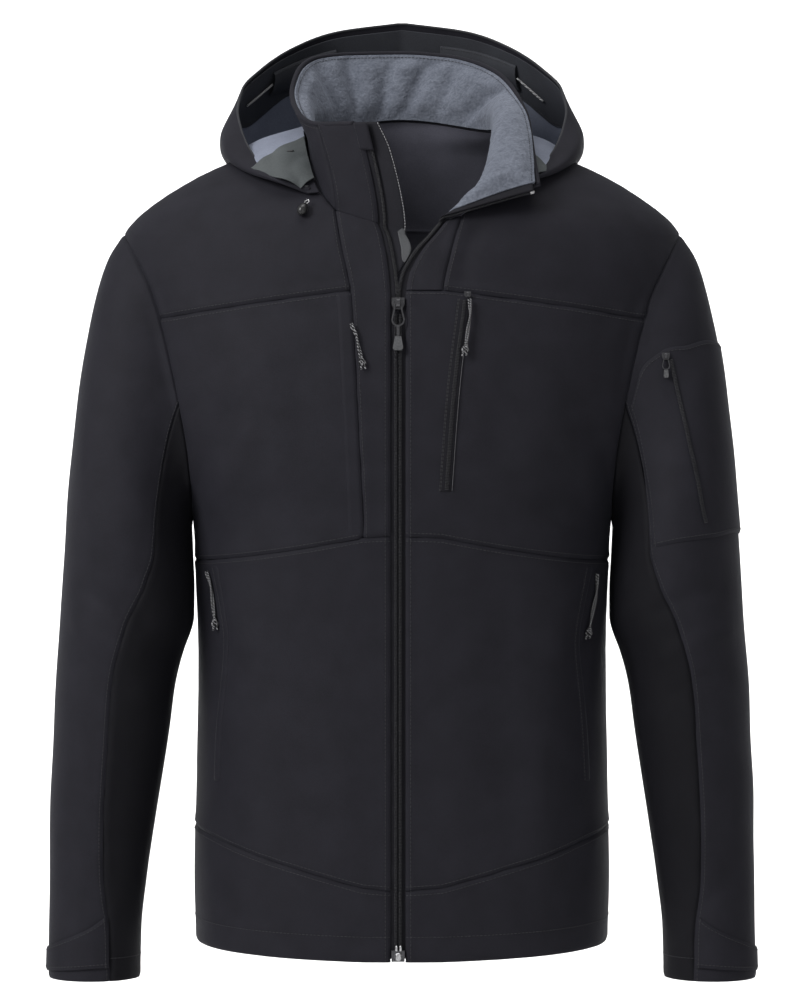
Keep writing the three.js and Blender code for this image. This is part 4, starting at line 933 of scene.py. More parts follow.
# Hood facing, lighter than the shell as painted light for the hood's shaded inside
FACING_PAINTED_LIGHT = softshell("hood_facing", (0.03, 0.031, 0.037), (0.044, 0.047, 0.055), sheen=0.04)
# Grey hood lining: its own grey, made lighter still as painted light for the hood's shaded inside
HOOD_GREY_PAINTED_LIGHT = softshell("hood_lining_grey_painted_light", (0.15, 0.165, 0.21), (0.22, 0.24, 0.3), sheen=0.08, rough=0.85)
PATCH_GREY = softshell("hood_patch_grey", (0.056, 0.063, 0.065), (0.09, 0.098, 0.1), sheen=0.08, rough=0.85)
FLEECE_GREY = fleece("collar_fleece", (0.085, 0.094, 0.118), (0.155, 0.169, 0.205))
THREAD = moulded("thread", (0.016, 0.016, 0.019), 0.7)
LIGHT_THREAD = moulded("light_thread", (0.3, 0.3, 0.31), 0.6)
PIPING = moulded("light_piping", (0.045, 0.045, 0.05), 0.5)
BINDING = softshell("grey_binding", (0.028, 0.029, 0.032), (0.045, 0.046, 0.05), sheen=0.05)
FACING_GREY = softshell("grey_facing", (0.06, 0.062, 0.066), (0.09, 0.093, 0.098), sheen=0.05)
COIL = moulded("zip_coil", (0.006, 0.006, 0.0085), 0.45)
TAPE = softshell("zip_tape", (0.0072, 0.007, 0.0096), (0.0115, 0.0112, 0.015), sheen=0.02)
PLASTIC = moulded("black_plastic", (0.01, 0.01, 0.011), 0.32)
METAL = moulded("gunmetal", (0.07, 0.07, 0.075), 0.28, 0.8)
GRIP = moulded("grey_grip", (0.06, 0.061, 0.064), 0.3)
STEEL = moulded("steel", (0.45, 0.45, 0.46), 0.3, 0.95)
CORD = braid("reflective_cord", (0.008, 0.008, 0.009), (0.26, 0.26, 0.27), 0.42, 0.72)
ELASTIC = braid("elastic_cord", (0.12, 0.12, 0.125), (0.4, 0.4, 0.41), 0.3, 0.7)


def front_patch(side, u, v, roll=EVEN_ROLL, **facts):
    return patch(*FRONT[side], u, v, roll, **facts)


def back_patch(v, roll, seed):
    return patch(back_surface, -1, (-BACK_SIDE, BACK_SIDE), v, roll, seed=seed, calm=(FIRST, LAST))


def collar_patch(u, v=(0, 1), roll=EVEN_ROLL, **facts):
    return patch(collar_surface, -1, u, v, roll, creased=False, **facts)


def build_hem_band(node, band, sign):
    lined(node, [band], sign)
    topstitch(band, [UPPER], BAND_STITCH)
    topstitch(band, [LOWER], HEM_STITCH)


# Front panels of one half, with their sewing
def build_front(side):
    sign = FRONT[side][1]
    band = front_patch(side, (0, SIDE), (0, HEM_SEAM), (1, 0.3, 0.6, 1), seed=3, calm=(LAST,))
    build_hem_band(f"hem_band_front_{side}", band, sign)
    lower = front_patch(side, (0, SIDE), (HEM_SEAM, WAIST), (1, 0.3, 1, 1), seed=4, calm=(LAST,))
    lined(f"lower_front_{side}", [lower], sign)
    topstitch(lower, [LOWER, UPPER])
    across = (STRIP, SIDE)
    yoke = front_patch(side, across, (YOKE, NECK_ROW), (1, 0.9, 1, 0.4), seed=5, calm=(LAST,), smooth=8)
    lined(f"yoke_front_{side}", [yoke], sign)
    topstitch(yoke, [LOWER, FIRST])
    if side == "left":
        chest = front_patch(side, (0, SIDE), (WAIST, YOKE), (1, 0.5, 1, 1), seed=6, calm=(LAST,))
        strip = front_patch(side, (0, STRIP), (YOKE, NECK_ROW), (1, 1, 0, 0.8), seed=6)
        lined("chest_left", [chest, strip], sign)
        topstitch(chest, [LOWER, UPPER])
        beside_zip = [chest, strip]
    else:
        chest = front_patch(side, across, (WAIST, YOKE), (1, 0.5, 1, 1), seed=6, calm=(LAST,))
        lined("chest_right", [chest], sign)
        topstitch(chest, [LOWER, UPPER])
        strip = front_patch(side, (0, STRIP), (WAIST, NECK_ROW), (1, 1, 1, 0), seed=7)
        stand = collar_patch((0, STRIP), roll=(1, 1, 0, 1), seed=7)
        piece = cloth("centre_strip_right", [strip], CHARCOAL, "softshell", sign=sign)
        join_mesh(piece, shell_mesh("stand", [stand], WALL, -1))
        topstitch(strip, [LAST])
        topstitch(stand, [LAST])
        beside_zip = [strip, stand]
    for p in [band, lower, *beside_zip]:
        topstitch(p, [FIRST], FRONT_STITCH)


# Adds another mesh to a piece
def join_mesh(piece, extra):
    whole = bmesh.new()
    whole.from_mesh(piece.data)
    whole.from_mesh(extra)
    whole.to_mesh(piece.data)
    whole.free()
    bpy.data.meshes.remove(extra)


def build_back():
    band = back_patch((0, HEM_SEAM), (0.3, 0.3, 0.6, 1), 11)
    build_hem_band("hem_band_back", band, -1)
    main = back_patch((HEM_SEAM, BACK_YOKE), (0.3, 0.3, 1, 1), 12)
    lined("back_panel", [main], -1)
    topstitch(main, [LOWER, UPPER])
    yoke = back_patch((BACK_YOKE, NECK_ROW), (0.9, 0.9, 1, 0.4), 13)
    lined("back_yoke", [yoke], -1, on="collar_outer")
    topstitch(yoke, [LOWER])


# Pieces of a sleeve: columns from and to, material, slot and seed
SLEEVE_PIECES = [
    ("outer", (BACK_SEAM_COLUMN - ARM_COLUMNS, SEAM_COLUMN), CHARCOAL, "softshell", 21),
    # The under piece takes the softshell's darker copy, which is painted shade
    ("under", (SEAM_COLUMN, BACK_SEAM_COLUMN), PAINTED_SHADE_SOFTSHELL, "inner_cloth", 23),
]
LAP = {"back": 3.5, "inward": 4.0}


# Seam allowance of a sleeve, turned in under the body's edge
def under_lap(p):
    edge = p["flat"][:, :1]
    back = unit(edge - p["flat"][:, 1:2])
    inward = unit(-edge * np.array([1.0, 1.0, 0.0]))
    lap = edge + back * LAP["back"] + inward * LAP["inward"]
    grown = dict(p)
    for key, first in (("points", lap), ("flat", lap), ("n", p["n"][:, :1]), ("s", p["s"][:, :1])):
        grown[key] = np.concatenate([first, p[key]], axis=1)
    grown["t"] = arc_lengths(grown["flat"], 1)
    return grown


def build_sleeve(side):
    surface, sign = sleeve_surface(side)
    for part, span, material, slot, seed in SLEEVE_PIECES:
        p = under_lap(patch(surface, sign, span, (0, LAST_RING), (1, 1, 0.8, 0.5), seed=seed, calm=(LOWER,)))
        cloth(f"sleeve_{part}_{side}", [p], material, slot, sign=sign, inside=JERSEY_WITH_PAINTED_LIGHT, on=f"yoke_front_{side}")
        if part == "outer":
            topstitch(p, [LAST])
            topstitch(p, [LOWER], BAND_STITCH)
        topstitch(p, [UPPER], CUFF_STITCH)
    return surface, sign


def build_collar():
    outer = collar_patch((STRIP, COLLAR_COLUMNS), roll=(1, 0.6, 0.8, 0.5), seed=31, step=STEP * 0.8)
    cloth("collar_outer", [outer], CHARCOAL, "softshell", sign=-1)
    topstitch(outer, [UPPER], 5)
    build_fleece()


# Fleece inside the collar: it bulges inwards, with soft valleys, and has an uneven nap
def build_fleece():
    wall, step = FLEECE["wall"], STEP * 0.7
    inner = collar_patch(FLEECE["columns"], FLEECE["rows"], NO_ROLL, lift=-WALL - 0.8, seed=32, step=step)
    valleys = 0.0
    for column, lean, half, depth in zip(*FLEECE_FOLDS.values()):
        valleys = valleys + depth * bell((inner["u"] - column - lean * (inner["v"] - 0.5)) / half)
    bulge = FLEECE["bulge"] + 0.8 * ripple(inner["flat"], 48, 34) - valleys
    nap = 0.25 * ripple(inner["flat"], 5.5, 35)
    near_edge = np.minimum.reduce([edge_distance(inner["s"], inner["t"], edge) for edge in range(4)])
    inward = bulge * ease(np.clip(near_edge / FLEECE["fade"], 0, 1)) + 0.6 - nap
    inner["points"] = inner["points"] - inner["n"] * inward[..., None]
    cloth("collar_fleece", [inner], FLEECE_GREY, "grey_fleece", wall, -1, "collar_outer")
    build_collar_binding()
    topstitch(turned_in(inner, wall + 0.3), [UPPER], 3)


# Bound upper edge of the collar, folded over both faces
def build_collar_binding():
    column = np.linspace(0.4, COLLAR_COLUMNS - 0.3, 150)
    top = collar_surface(column, 1.0 + 0 * column)
    towards = unit(collar_surface(column, 0.9 + 0 * column) - top)
    line = top + towards * 1.2 - spaced_normals(collar_surface, -1, column, 0.985) * 1.6
    tube("collar_binding", line, 2.3, 10, CHARCOAL, slot="softshell")


# Directions out of a surface along a line of places
def spaced_normals(surface, sign, u, v, step_u=0.05, step_v=0.01):
    u = np.asarray(u, float)
    v = np.broadcast_to(np.asarray(v, float), u.shape)
    du = surface(u + step_u, v) - surface(u - step_u, v)
    dv = surface(u, v + step_v) - surface(u, v - step_v)
    return unit(np.cross(du, dv) * sign)


def hood_patch_of(u, v, roll=NO_ROLL, **facts):
    return patch(hood_surface, -1, u, v, roll, creased=False, **facts)


# Where the hood's grey lining ends and its dark facing begins, by distance from the hood's front in columns
HOOD_SPLIT = table("column up", [[7, 0.75], [11.4, 0.758], [13.6, 0.849], [15, 0.875], [17, 0.88]])


# Layer inside the hood between two shares of the way from its seam to its rim
def hood_layer(u, low, high, lift, roll=NO_ROLL, **facts):
    def share(limit, column):
        from_end = np.minimum(column, HOOD_COLUMNS - column)
        return look(HOOD_SPLIT, "up", from_end) if limit is None else limit

    def surface(column, v):
        column, v = np.broadcast_arrays(np.asarray(column, float), np.asarray(v, float))
        return hood_surface(column, mix(share(low, column), share(high, column), v))

    return patch(surface, -1, u, (0, 1), roll, lift=lift, creased=False, **facts)


HOOD_LAYER = -WALL - 0.9
HOOD_CORD = {
    "diameter": 2.0, "under": 5.6,
    "right": ((11.12, 0.874), (12.62, 0.916)), "left": ((12.08, 0.866), (13.36, 0.916)),
}


# Place under the hood's cloth, by distance from its front in columns and share of the way up
def under_hood(side, from_end, up, depth):
    column = np.atleast_1d(from_end if side == "right" else HOOD_COLUMNS - from_end)
    up = np.atleast_1d(up)
    n = spaced_normals(hood_surface, -1, column, up, 0.2, 0.02)
    return (hood_surface(column, up) - n * depth)[0], -n[0]


# Side of the hood and the soft patch inside its front corner
def build_hood_side(side, span, low, roll, middle_edge):
    shell = hood_patch_of(span, (0, 1), roll, seed=41)
    cloth(f"hood_side_{side}", [shell], CHARCOAL, "softshell", sign=-1, on="collar_outer")
    topstitch(shell, [middle_edge])
    inner = hood_layer(low, -0.02, 0.46, HOOD_LAYER - 0.5, seed=42)
    folds = np.abs(ripple(inner["flat"] * np.array([1.0, 0.4, 1.0]), 24, 46))
    inner["points"] = inner["points"] - inner["n"] * (2.4 * folds)[..., None]
    cloth(f"hood_patch_{side}", [inner], PATCH_GREY, "grey_lining", 0.8, -1, f"hood_side_{side}")


def build_hood():
    last = HOOD_COLUMNS
    build_hood_side("right", (0, HOOD_SEAM), (0.9, 5), (0.3, 1, 0, 0.2), LAST)
    build_hood_side("left", (last - HOOD_SEAM, last), (last - 5, last - 0.9), (1, 0.3, 0, 0.2), FIRST)
    centre = hood_patch_of((HOOD_SEAM, last - HOOD_SEAM), (0, 1), (1, 1, 0, 0.2), seed=43)
    cloth("hood_centre", [centre], CHARCOAL, "softshell", sign=-1, on="collar_outer")
    topstitch(centre, [FIRST, LAST])
    lining = [hood_layer((7, last - 7), -0.02, None, HOOD_LAYER, seed=44)]
    for low in ((4.9, 7), (last - 7, last - 4.9)):
        lining.append(hood_layer(low, -0.02, 0.5, HOOD_LAYER, seed=44))
    # The lining's grey is partly its own colour and partly painted light for the hood's shaded inside
    cloth("hood_lining", lining, HOOD_GREY_PAINTED_LIGHT, "grey_lining", 0.8, -1, "hood_centre")
    facing = hood_layer((7, last - 7), None, 0.985, HOOD_LAYER + 0.2, (0, 0, 0.5, 0), seed=45)
    # The facing's lighter grey is painted light for the hood's shaded inside
    piece = cloth("hood_facing", [facing], FACING_PAINTED_LIGHT, "softshell", 1.0, -1, "hood_centre")
    topstitch(turned_in(facing, 1.3), [LOWER], 3)
    for side in ("right", "left"):
        build_cord_tunnel(side, piece)
        build_slot_shade(side)
    column = np.linspace(0.15, last - 0.15, 150)
    rim = hood_surface(column, 1.0 + 0 * column) - spaced_normals(hood_surface, -1, column, 0.985) * 1.2
    tube("hood_binding", rim, 1.2, 10, BINDING, slot="softshell")


# Small black bar on the patch: painted shade for the slot through which the hood's cord comes out to its
# toggle
SLOT_SHADE = {"from_end": 4.0, "up": 0.16, "depth": 6.2, "half": (3.2, 0.9, 0.6)}


def build_slot_shade(side):
    place, out = under_hood(side, SLOT_SHADE["from_end"], SLOT_SHADE["up"], SLOT_SHADE["depth"])
    along = unit(np.array([1.0, 0, 0]) - out * out[0])
    line = (place[None], along[None], out[None])
    bars(f"hood_slot_shade_{side}", *line, SLOT_SHADE["half"], PLASTIC, slot="black_plastic")


# Casing that the hood's cord runs into, sewn flat on the facing
CASING = {"columns": 2.7, "up": 0.914, "half": 0.042, "swell": 3.6}


def build_cord_tunnel(side, piece):
    start = HOOD_CORD[side][1][0]
    end = start + CASING["columns"]
    columns = (start, end) if side == "right" else (HOOD_COLUMNS - end, HOOD_COLUMNS - start)

    def surface(column, v):
        return hood_surface(column, CASING["up"] + mix(-CASING["half"], CASING["half"], v))

    p = patch(surface, -1, columns, (0, 1), NO_ROLL, HOOD_LAYER - 1.1, creased=False, step=STEP * 0.6)
    swell = CASING["swell"] * np.sin(np.pi * p["v"]) ** 0.6
    p["points"] = p["points"] - p["n"] * swell[..., None]
    join_mesh(piece, shell_mesh("tunnel", [p], 1.0, -1))
    topstitch(turned_in(p, 1.2), [LOWER, UPPER], 1.5)


# Strip beside a front edge: it starts a distance inside the cloth's edge and ends a distance beyond it
def edge_strip(side, row, up, start, end, depth, columns=4):
    surface, sign = FRONT[side]
    rows = np.linspace(*row, max(4, int((row[1] - row[0]) * (10))))
    edge, inner = surface(0.0, rows), surface(1.0, rows)
    n = sign * np.cross(surface(0.5, rows) - edge, surface(0.0, rows + 0.05) - surface(0.0, rows - 0.05))
    if up:
        shares = np.linspace(0.03, up, 40)
        column, next_column = (0.0, 1.0) if side == "right" else (COLLAR_COLUMNS, COLLAR_COLUMNS - 1.0)
        line, beside_line = collar_surface(column, shares), collar_surface(next_column, shares)
        dv = collar_surface(column, np.minimum(shares + 0.01, 1)) - collar_surface(column, shares - 0.01)
        turn = np.cross(beside_line - line, dv) * sign
        edge = np.concatenate([edge, line])
        inner = np.concatenate([inner, beside_line])
        n = np.concatenate([n, turn])
    n = unit(n)
    for _ in range(3):
        n[1:-1] = (n[:-2] + 2 * n[1:-1] + n[2:]) / 4
        n = unit(n)
    side_way = edge - inner
    side_way = unit(side_way - n * np.sum(side_way * n, axis=1, keepdims=True))
    share = np.linspace(0, 1, columns + 1)[:, None, None]
    end = end(edge) if callable(end) else np.full(len(edge), float(end))
    reach = mix(start, end[None, :, None], share)
    return grid_patch(edge[None] + side_way[None] * reach + n[None] * depth, n[None])


HALF_ZIP = 6.5
UNDER = -WALL - 0.9


# The tapes meet and overlap behind the closed teeth and end at the teeth above the slider
def tape_reach(edge):
    return np.where(edge[:, 2] < ZIP_OPEN_Z - 16, HALF_ZIP + 1.2, HALF_ZIP - 0.3)


# Pitch of each zip's coil, and the half sizes of one turn of it across the zip, along it and out
COILS = {
    "open": (1.2, (1.8, 0.42, 1.0)), "closed": (1.25, (1.6, 0.4, 0.75)),
    "chest": (1.35, (1.9, 0.45, 0.5)), "sleeve": (1.35, (1.9, 0.45, 0.6)),
}


# Zip coil along a line: small bars across it at an even pitch
def coil(name, line, n, pitch, half, **facts):
    place, along, out = even(line, n, pitch)
    bars(name, place, np.cross(along, out), out, half, COIL, slot="black_plastic", **facts)
    return place, along, out


def build_zip():
    for side in ("right", "left"):
        depth = UNDER - (0.9 if side == "left" else 0)
        tape = edge_strip(side, (0.15, NECK_ROW), 0.93, -3.2, tape_reach, depth)
        face = 1 if side == "right" else -1
        cloth(f"zip_tape_{side}", [tape], TAPE, "inner_cloth", 0.8, face, "centre_strip_right")
        open_edge = edge_strip(side, (YOKE - 0.35, NECK_ROW), 0.92, 0.5, HALF_ZIP - 0.7, UNDER + 0.6)
        line, n = open_edge["points"][-1], open_edge["n"][-1]
        node = f"zip_teeth_open_{side}"
        place, along, out = coil(node + "_coil", line, n, *COILS["open"], nodes=[node])
        if side == "left":
            bars("zip_top_stop", place[-1:], along[-1:], out[-1:], (2.2, 2.0, 1.9), STEEL, slot="gunmetal")
    build_closed_teeth()


# Two columns of coil side by side below the slider
def build_closed_teeth():
    z = np.linspace(HEM_Z + 9, ZIP_OPEN_Z - 14, 160)
    angle = -angle_at(np.full(z.shape, -ZIP_X), z)
    n = spaced_normals(body_point, 1, angle, z, 0.002, 0.5)
    pitch, half = COILS["closed"]
    place, along, out = even(body_point(angle, z) + n * (UNDER + 1.1), n, pitch)
    reach = np.cross(along, out)
    both = np.concatenate([place + reach * 1.9, place - reach * 1.9 + along * 0.6])
    twice = (2, 1)
    bars("zip_teeth_closed_coil", both, np.tile(reach, twice), np.tile(out, twice), half, COIL,
         nodes=["zip_teeth_closed"], slot="black_plastic")


# Oval grey facing sewn on the wind flap's lower corner
FLAP_FACING = {"low": -127, "high": -96, "width": 9.5}


def build_flap_facing(flap):
    height = flap["points"][-1, :, 2]
    low, high = FLAP_FACING["low"], FLAP_FACING["high"]
    grid = []
    for k in np.flatnonzero((height > low) & (height < high)):
        width = FLAP_FACING["width"] * math.sin(math.pi * (height[k] - low) / (high - low)) ** 0.6
        at = flap["s"][-1, k] - 0.4 - width * np.linspace(1, 0, 7)
        values = np.concatenate([flap["points"][:, k], flap["n"][:, k]], axis=1)
        grid.append(read_along(at, flap["s"][:, k], values))
    grid = np.array(grid).transpose(1, 0, 2)
    oval = grid_patch(grid[..., :3] + grid[..., 3:] * 0.7, grid[..., 3:])
    mesh = shell_mesh("wind_flap_facing", [oval], 0.6, 1)
    new_object("wind_flap_facing", mesh, FACING_GREY, slot="grey_lining")


WIND_FLAP = table("z reach", [[-140, 4], [-130, 12], [-105, 25], [-61, 25], [-28, 23], [-5, 17]])


def flap_reach(edge):
    return look(WIND_FLAP, "reach", edge[:, 2])


def build_wind_flap():
    flap = edge_strip("right", (YOKE + 1, NECK_ROW), 1.0, -9, flap_reach, UNDER - 1.2, 8)
    wave = 1.2 * ripple(flap["flat"], 60, 51) * np.clip(flap["s"] / 30, 0, 1)
    flap["points"] = flap["points"] + flap["n"] * wave[..., None]
    cloth("wind_flap", [flap], FLAP, "inner_cloth", 1.4, 1, "centre_strip_right")
    line, n = beside(flap, LAST, 0.7, 0.1)
    keep = line[:, 2] > -122
    place, along, out = even(line[keep], n[keep], 2.6)
    bars("wind_flap_stitches", place, along, out, (0.9, 0.35, 0.3), LIGHT_THREAD, slot="inner_cloth")
    build_flap_facing(flap)
    build_chin_guard()


# Domed patch over the top of the open zip
def build_chin_guard():
    shares = np.linspace(0.72, 1.0, 12)
    edge = collar_surface(0.0, shares)
    way = unit(edge - collar_surface(1.0, shares))
    n = spaced_normals(collar_surface, -1, np.zeros(12) + 0.2, shares * 0.98)
    reach = np.linspace(-4, 9, 7)[:, None, None]
    dome = 1.6 - 0.012 * (reach - 3) ** 2
    guard = grid_patch(edge[None] + way[None] * reach + n[None] * dome, n[None])
    cloth("chin_guard", [guard], CHARCOAL, "softshell", 1.2, 1, "centre_strip_right")


CHEST_ZIP_LINE = table("z x", [[-327, 38], [-240, 44.5], [-158, 54.5]])
# Shares along a pocket's zip at which its coil starts and ends, and the number of points between
COIL_SHARES = (0.01, 0.99, 90)
HAND_LINE = table("z x", [[-582, 163], [-536, 161], [-502, 158], [-457, 154.5], [-424, 159], [-388, 167]])


# Strip on the front's surface along a line given as distance across at a height
# u runs across, and v from 0 to 1 up
def on_front(line, low, high, left, right, sign_x):
    def surface(u, v):
        z = mix(low, high, v)
        x = sign_x * look(line, "x", z) + mix(left, right, u)
        return body_point(np.sign(x) * angle_at(x, z), z)

    return surface


# How far cloth that lies on a panel stands out with the panel's creases
def lies_on(points, n, lift):
    return lift + crease_height(points, n) + UNEVEN["height"] * ripple(points, UNEVEN["length"], 4)


def overlay(surface, sign, lift, roll=(0.35, 0.35, 0.35, 0.35), step=None):
    flat = surface(*spaced(surface, (0, 1), (0, 1), step))
    p = grid_patch(flat, normals(flat, sign))
    out = lies_on(flat, p["n"], lift)
    for edge, depth in enumerate(roll):
        out = out - depth * 1.5 * bell(edge_distance(p["s"], p["t"], edge) / 1.6)
    return dict(p, points=flat + p["n"] * out[..., None])


def surface_line(surface, sign, u, v, lift):
    p = surface(u, v)
    n = spaced_normals(surface, sign, u, v, 0.01, 0.002)
    return p + n * lies_on(p, n, lift)[..., None], n


def build_pockets(sleeves):
    build_chest_zip()
    seam = on_front(PRINCESS["right"], -364, -154, -12.4, 0.6, -1)
    p = overlay(seam, 1, 1.0, (0.5, 0.9, 0.3, 0.3), FINE)
    cloth("chest_welt_right", [p], CHARCOAL, "softshell", 1.0, 1, "chest_right")
    for side in ("right", "left"):
        slit = on_front(HAND_LINE, -580, -391, -3, 3, 1 if side == "left" else -1)
        p = overlay(slit, 1, 0.9, (0.6, 0.6, 0.3, 0.3), FINE)
        cloth(f"hand_pocket_{side}", [p], CHARCOAL, "softshell", 0.9, 1, f"lower_front_{side}")
        topstitch(p, [FIRST], 1.2)
        build_cuff_tab(side, *sleeves[side])
    build_sleeve_pocket(*sleeves["left"])


def build_chest_zip():
    chest = on_front(CHEST_ZIP_LINE, -326, -159, -6.3, 5.2, 1)
    p = overlay(chest, 1, 0.9, step=FINE)
    cloth("chest_zip_left", [p], TAPE, "black_plastic", 0.7, 1, "chest_left")
    topstitch(p, [FIRST], 1.5)
    topstitch(p, [FIRST], 0.4)
    v = np.linspace(*COIL_SHARES)
    coil("chest_zip_coil", *surface_line(chest, 1, 0.56 + 0 * v, v, 1.3), *COILS["chest"])
    edge = surface_line(chest, 1, 0.97 + 0 * v, v * 0.72, 1.1)[0]
    tube("chest_zip_edge", edge, 0.34, 8, PIPING, slot="black_plastic")


# Columns of the pieces that lie on a sleeve, from behind its outer side to the front seam
OVERLAY_COLUMNS = (-3, 5.85)


# Piece on a sleeve between two rings given by column
def sleeve_overlay(tab, surface, sign, lift, roll, step=None):
    def place(u, v):
        column = mix(*OVERLAY_COLUMNS, u)
        return surface(column, mix(look(tab, "top", column), look(tab, "bottom", column), v))

    return overlay(place, sign, lift, roll, step)


CUFF_TAB = table("column top bottom", [
    [-3, 12.5, 12.8], [-2, 12.46, 12.83], [-1, 12.42, 12.85], [0, 12.38, 12.86], [1, 12.32, 12.84],
    [2, 12.24, 12.81], [3, 12.13, 12.78], [4, 12.0, 12.75], [5, 11.84, 12.72], [5.85, 11.66, 12.71],
])


def build_cuff_tab(side, surface, sign):
    p = sleeve_overlay(CUFF_TAB, surface, sign, 2.4, (0.6, 0.6, 0.5, 0.5), STEP * 0.6)
    cloth(f"cuff_tab_{side}", [p], CHARCOAL, "softshell", 1.9, sign, f"sleeve_outer_{side}")
    topstitch(p, [LOWER, UPPER, LAST], 3)


SLEEVE_POCKET = table("column top bottom", [
    [-3, 3, 6.1], [-2, 2.97, 6.1], [-1, 2.95, 6.1], [0, 2.92, 6.08], [1, 2.78, 6.03], [2, 2.42, 5.94],
    [3, 1.92, 5.82], [4, 1.1, 5.59], [5, 0.38, 5.26], [5.85, 0.34, 4.94],
])
SLEEVE_ZIP = table("ring column", [[1.3, 3.8], [2.35, 3.9], [3.5, 3.83], [4.64, 3.6], [5.5, 3.47]])
SLEEVE_ZIP_RINGS = (1.5, 5.46)
SLEEVE_ZIP_HALF = (0.2, 0.3)


def build_sleeve_pocket(surface, sign):
    p = sleeve_overlay(SLEEVE_POCKET, surface, sign, 1.7, (0.5, 0.5, 0.7, 0.7))
    cloth("sleeve_pocket", [p], CHARCOAL, "softshell", 1.2, sign, "sleeve_outer_left")
    topstitch(p, range(4))

    def band(u, v):
        ring = mix(*SLEEVE_ZIP_RINGS, v)
        half = mix(*SLEEVE_ZIP_HALF, v)
        return surface(look(SLEEVE_ZIP, "column", ring) + mix(half, -half, u), ring)

    p = overlay(band, sign, 2.5, (0.2, 0.2, 0.2, 0.2), STEP * 0.6)
    # The zip band takes the softshell's darker copy: painted shade in the pocket's opening
    cloth("sleeve_pocket_zip", [p], PAINTED_SHADE_SOFTSHELL, "black_plastic", 0.7, -sign, "sleeve_pocket")
    v = np.linspace(*COIL_SHARES)
    coil("sleeve_zip_coil", *surface_line(band, -sign, 0.5 + 0 * v, v, 3.0), *COILS["sleeve"])


# Cord pulls: the same routes as the frame's, each a doubled cord laid in a twist, with its knot
CORD_PULLS = [
    ("chest_left", (58, -160), (56, -199), (4, 4.4)),
    ("chest_right", (-44, -181.5), (-34, -210.5), (4, 3.2)),
    ("hand_right", (-172, -396), (-163.5, -437), (2.6, 3.4)),
    ("hand_left", (171, -398), (165.5, -445), (2.6, 3.6)),
]
PULL_DIAMETER = 3.4
TWIST_PITCH = 60
KNOT = {"radius": 3.0, "half": 4.0, "below": 3.95}
TAIL_RADIUS = 0.85


def raised(x, z, lift):
    angle = np.sign(x) * angle_at(x, z)
    p = body_point(angle, z)
    n = spaced_normals(body_point, 1, np.atleast_1d(angle), np.atleast_1d(z), 0.002, 0.5)[0]
    return p + n * lift, n


def smooth_line(points, count):
    return through([np.repeat(p[None], count, axis=0) for p in points], np.linspace(0, 1, count))


# Works out the length and the points in metres of a cord's line, and keeps neither
def declare_cord(piece, line, diameter, far_end, lay, **facts):
    length = float(line_lengths(line)[-1]) * MM
    [tuple(p) for p in line * MM]


# Cord laid double, as two strands twisted round each other
def twisted_cord(name, line, diameter, node, knot):
    tangent = unit(np.gradient(line, axis=0))
    side = unit(np.cross(tangent, [0, -1, 0.2]))
    other = np.cross(tangent, side)
    meshes = []
    for phase in (0, np.pi):
        turn = line_lengths(line) / TWIST_PITCH * 2 * np.pi + phase
        offset = (np.cos(turn)[:, None] * side + np.sin(turn)[:, None] * other) * diameter * 0.26
        meshes.append(tube_mesh(name, line + offset, diameter * 0.24, 8))
    piece = new_object(name, meshes[0], CORD, [node], "cord")
    join_mesh(piece, meshes[1])
    declare_cord(piece, line, diameter, "knot", "hanging", with_pieces=[knot])


def knot_line(centre, along, radius, half):
    t = np.linspace(0, 2 * np.pi, 60)[:, None]
    side = unit(np.cross(along, [0, 1, 0]))
    a = (np.sin(t) + 2 * np.sin(2 * t)) / 3
    b = (np.cos(t) - 2 * np.cos(2 * t)) / 3
    c = -np.sin(3 * t)
    other = np.cross(along, side)
    return centre + side * a * radius * 0.75 + other * c * radius * 0.4 + along * b * half * 0.7


def build_pulls():
    for name, start, end, lift in CORD_PULLS:
        route = []
        for t in (0, 0.35, 0.7, 1):
            sway = 1.2 * math.sin(t * math.pi * 1.5)
            x, z = mix(start[0], end[0], t) + sway, mix(start[1], end[1], t)
            route.append(raised(x, z, mix(*lift, t))[0])
        along = unit(route[3] - route[2])
        centre = route[3] + along * KNOT["below"]
        node = f"cord_knot_{name}"
        line = knot_line(centre, along, KNOT["radius"], KNOT["half"])
        knot = tube(node + "_tied", line, KNOT["radius"] * 0.42, 8, CORD, nodes=[node], slot="cord")
        node = f"cord_pull_{name}"
        twisted_cord(node + "_cord", smooth_line(route, 40), PULL_DIAMETER, node, knot)
        for k, spread in enumerate((-1.6, 1.4)):
            bend = centre + along * 4.2 + np.array([spread, -0.3, 0])
            tip = centre + along * 6.8 + np.array([spread * 1.2, -0.4, 0.6 * k])
            line = smooth_line([centre + along * 2.0, bend, tip], 12)
            tube(f"cord_tail_{name}_{k}", line, TAIL_RADIUS, 8, CORD, slot="cord")


def build_hood_cords():
    diameter = HOOD_CORD["diameter"]
    for side in ("right", "left"):
        low, high = np.array(HOOD_CORD[side])
        route = [under_hood(side, *mix(low, high, t), HOOD_CORD["under"])[0] for t in (0, 0.33, 0.67, 1)]
        line = smooth_line(route, 50)
        node = f"hood_cord_{side}"
        piece = tube(node + "_cord", line, diameter / 2, 10, ELASTIC, nodes=[node], slot="cord")
        declare_cord(piece, line, diameter, "object", "taut")


TOGGLE = {"at": (-86, -81), "radius": 4.4, "half": 6.5, "lift": 4.2, "turn": -25}


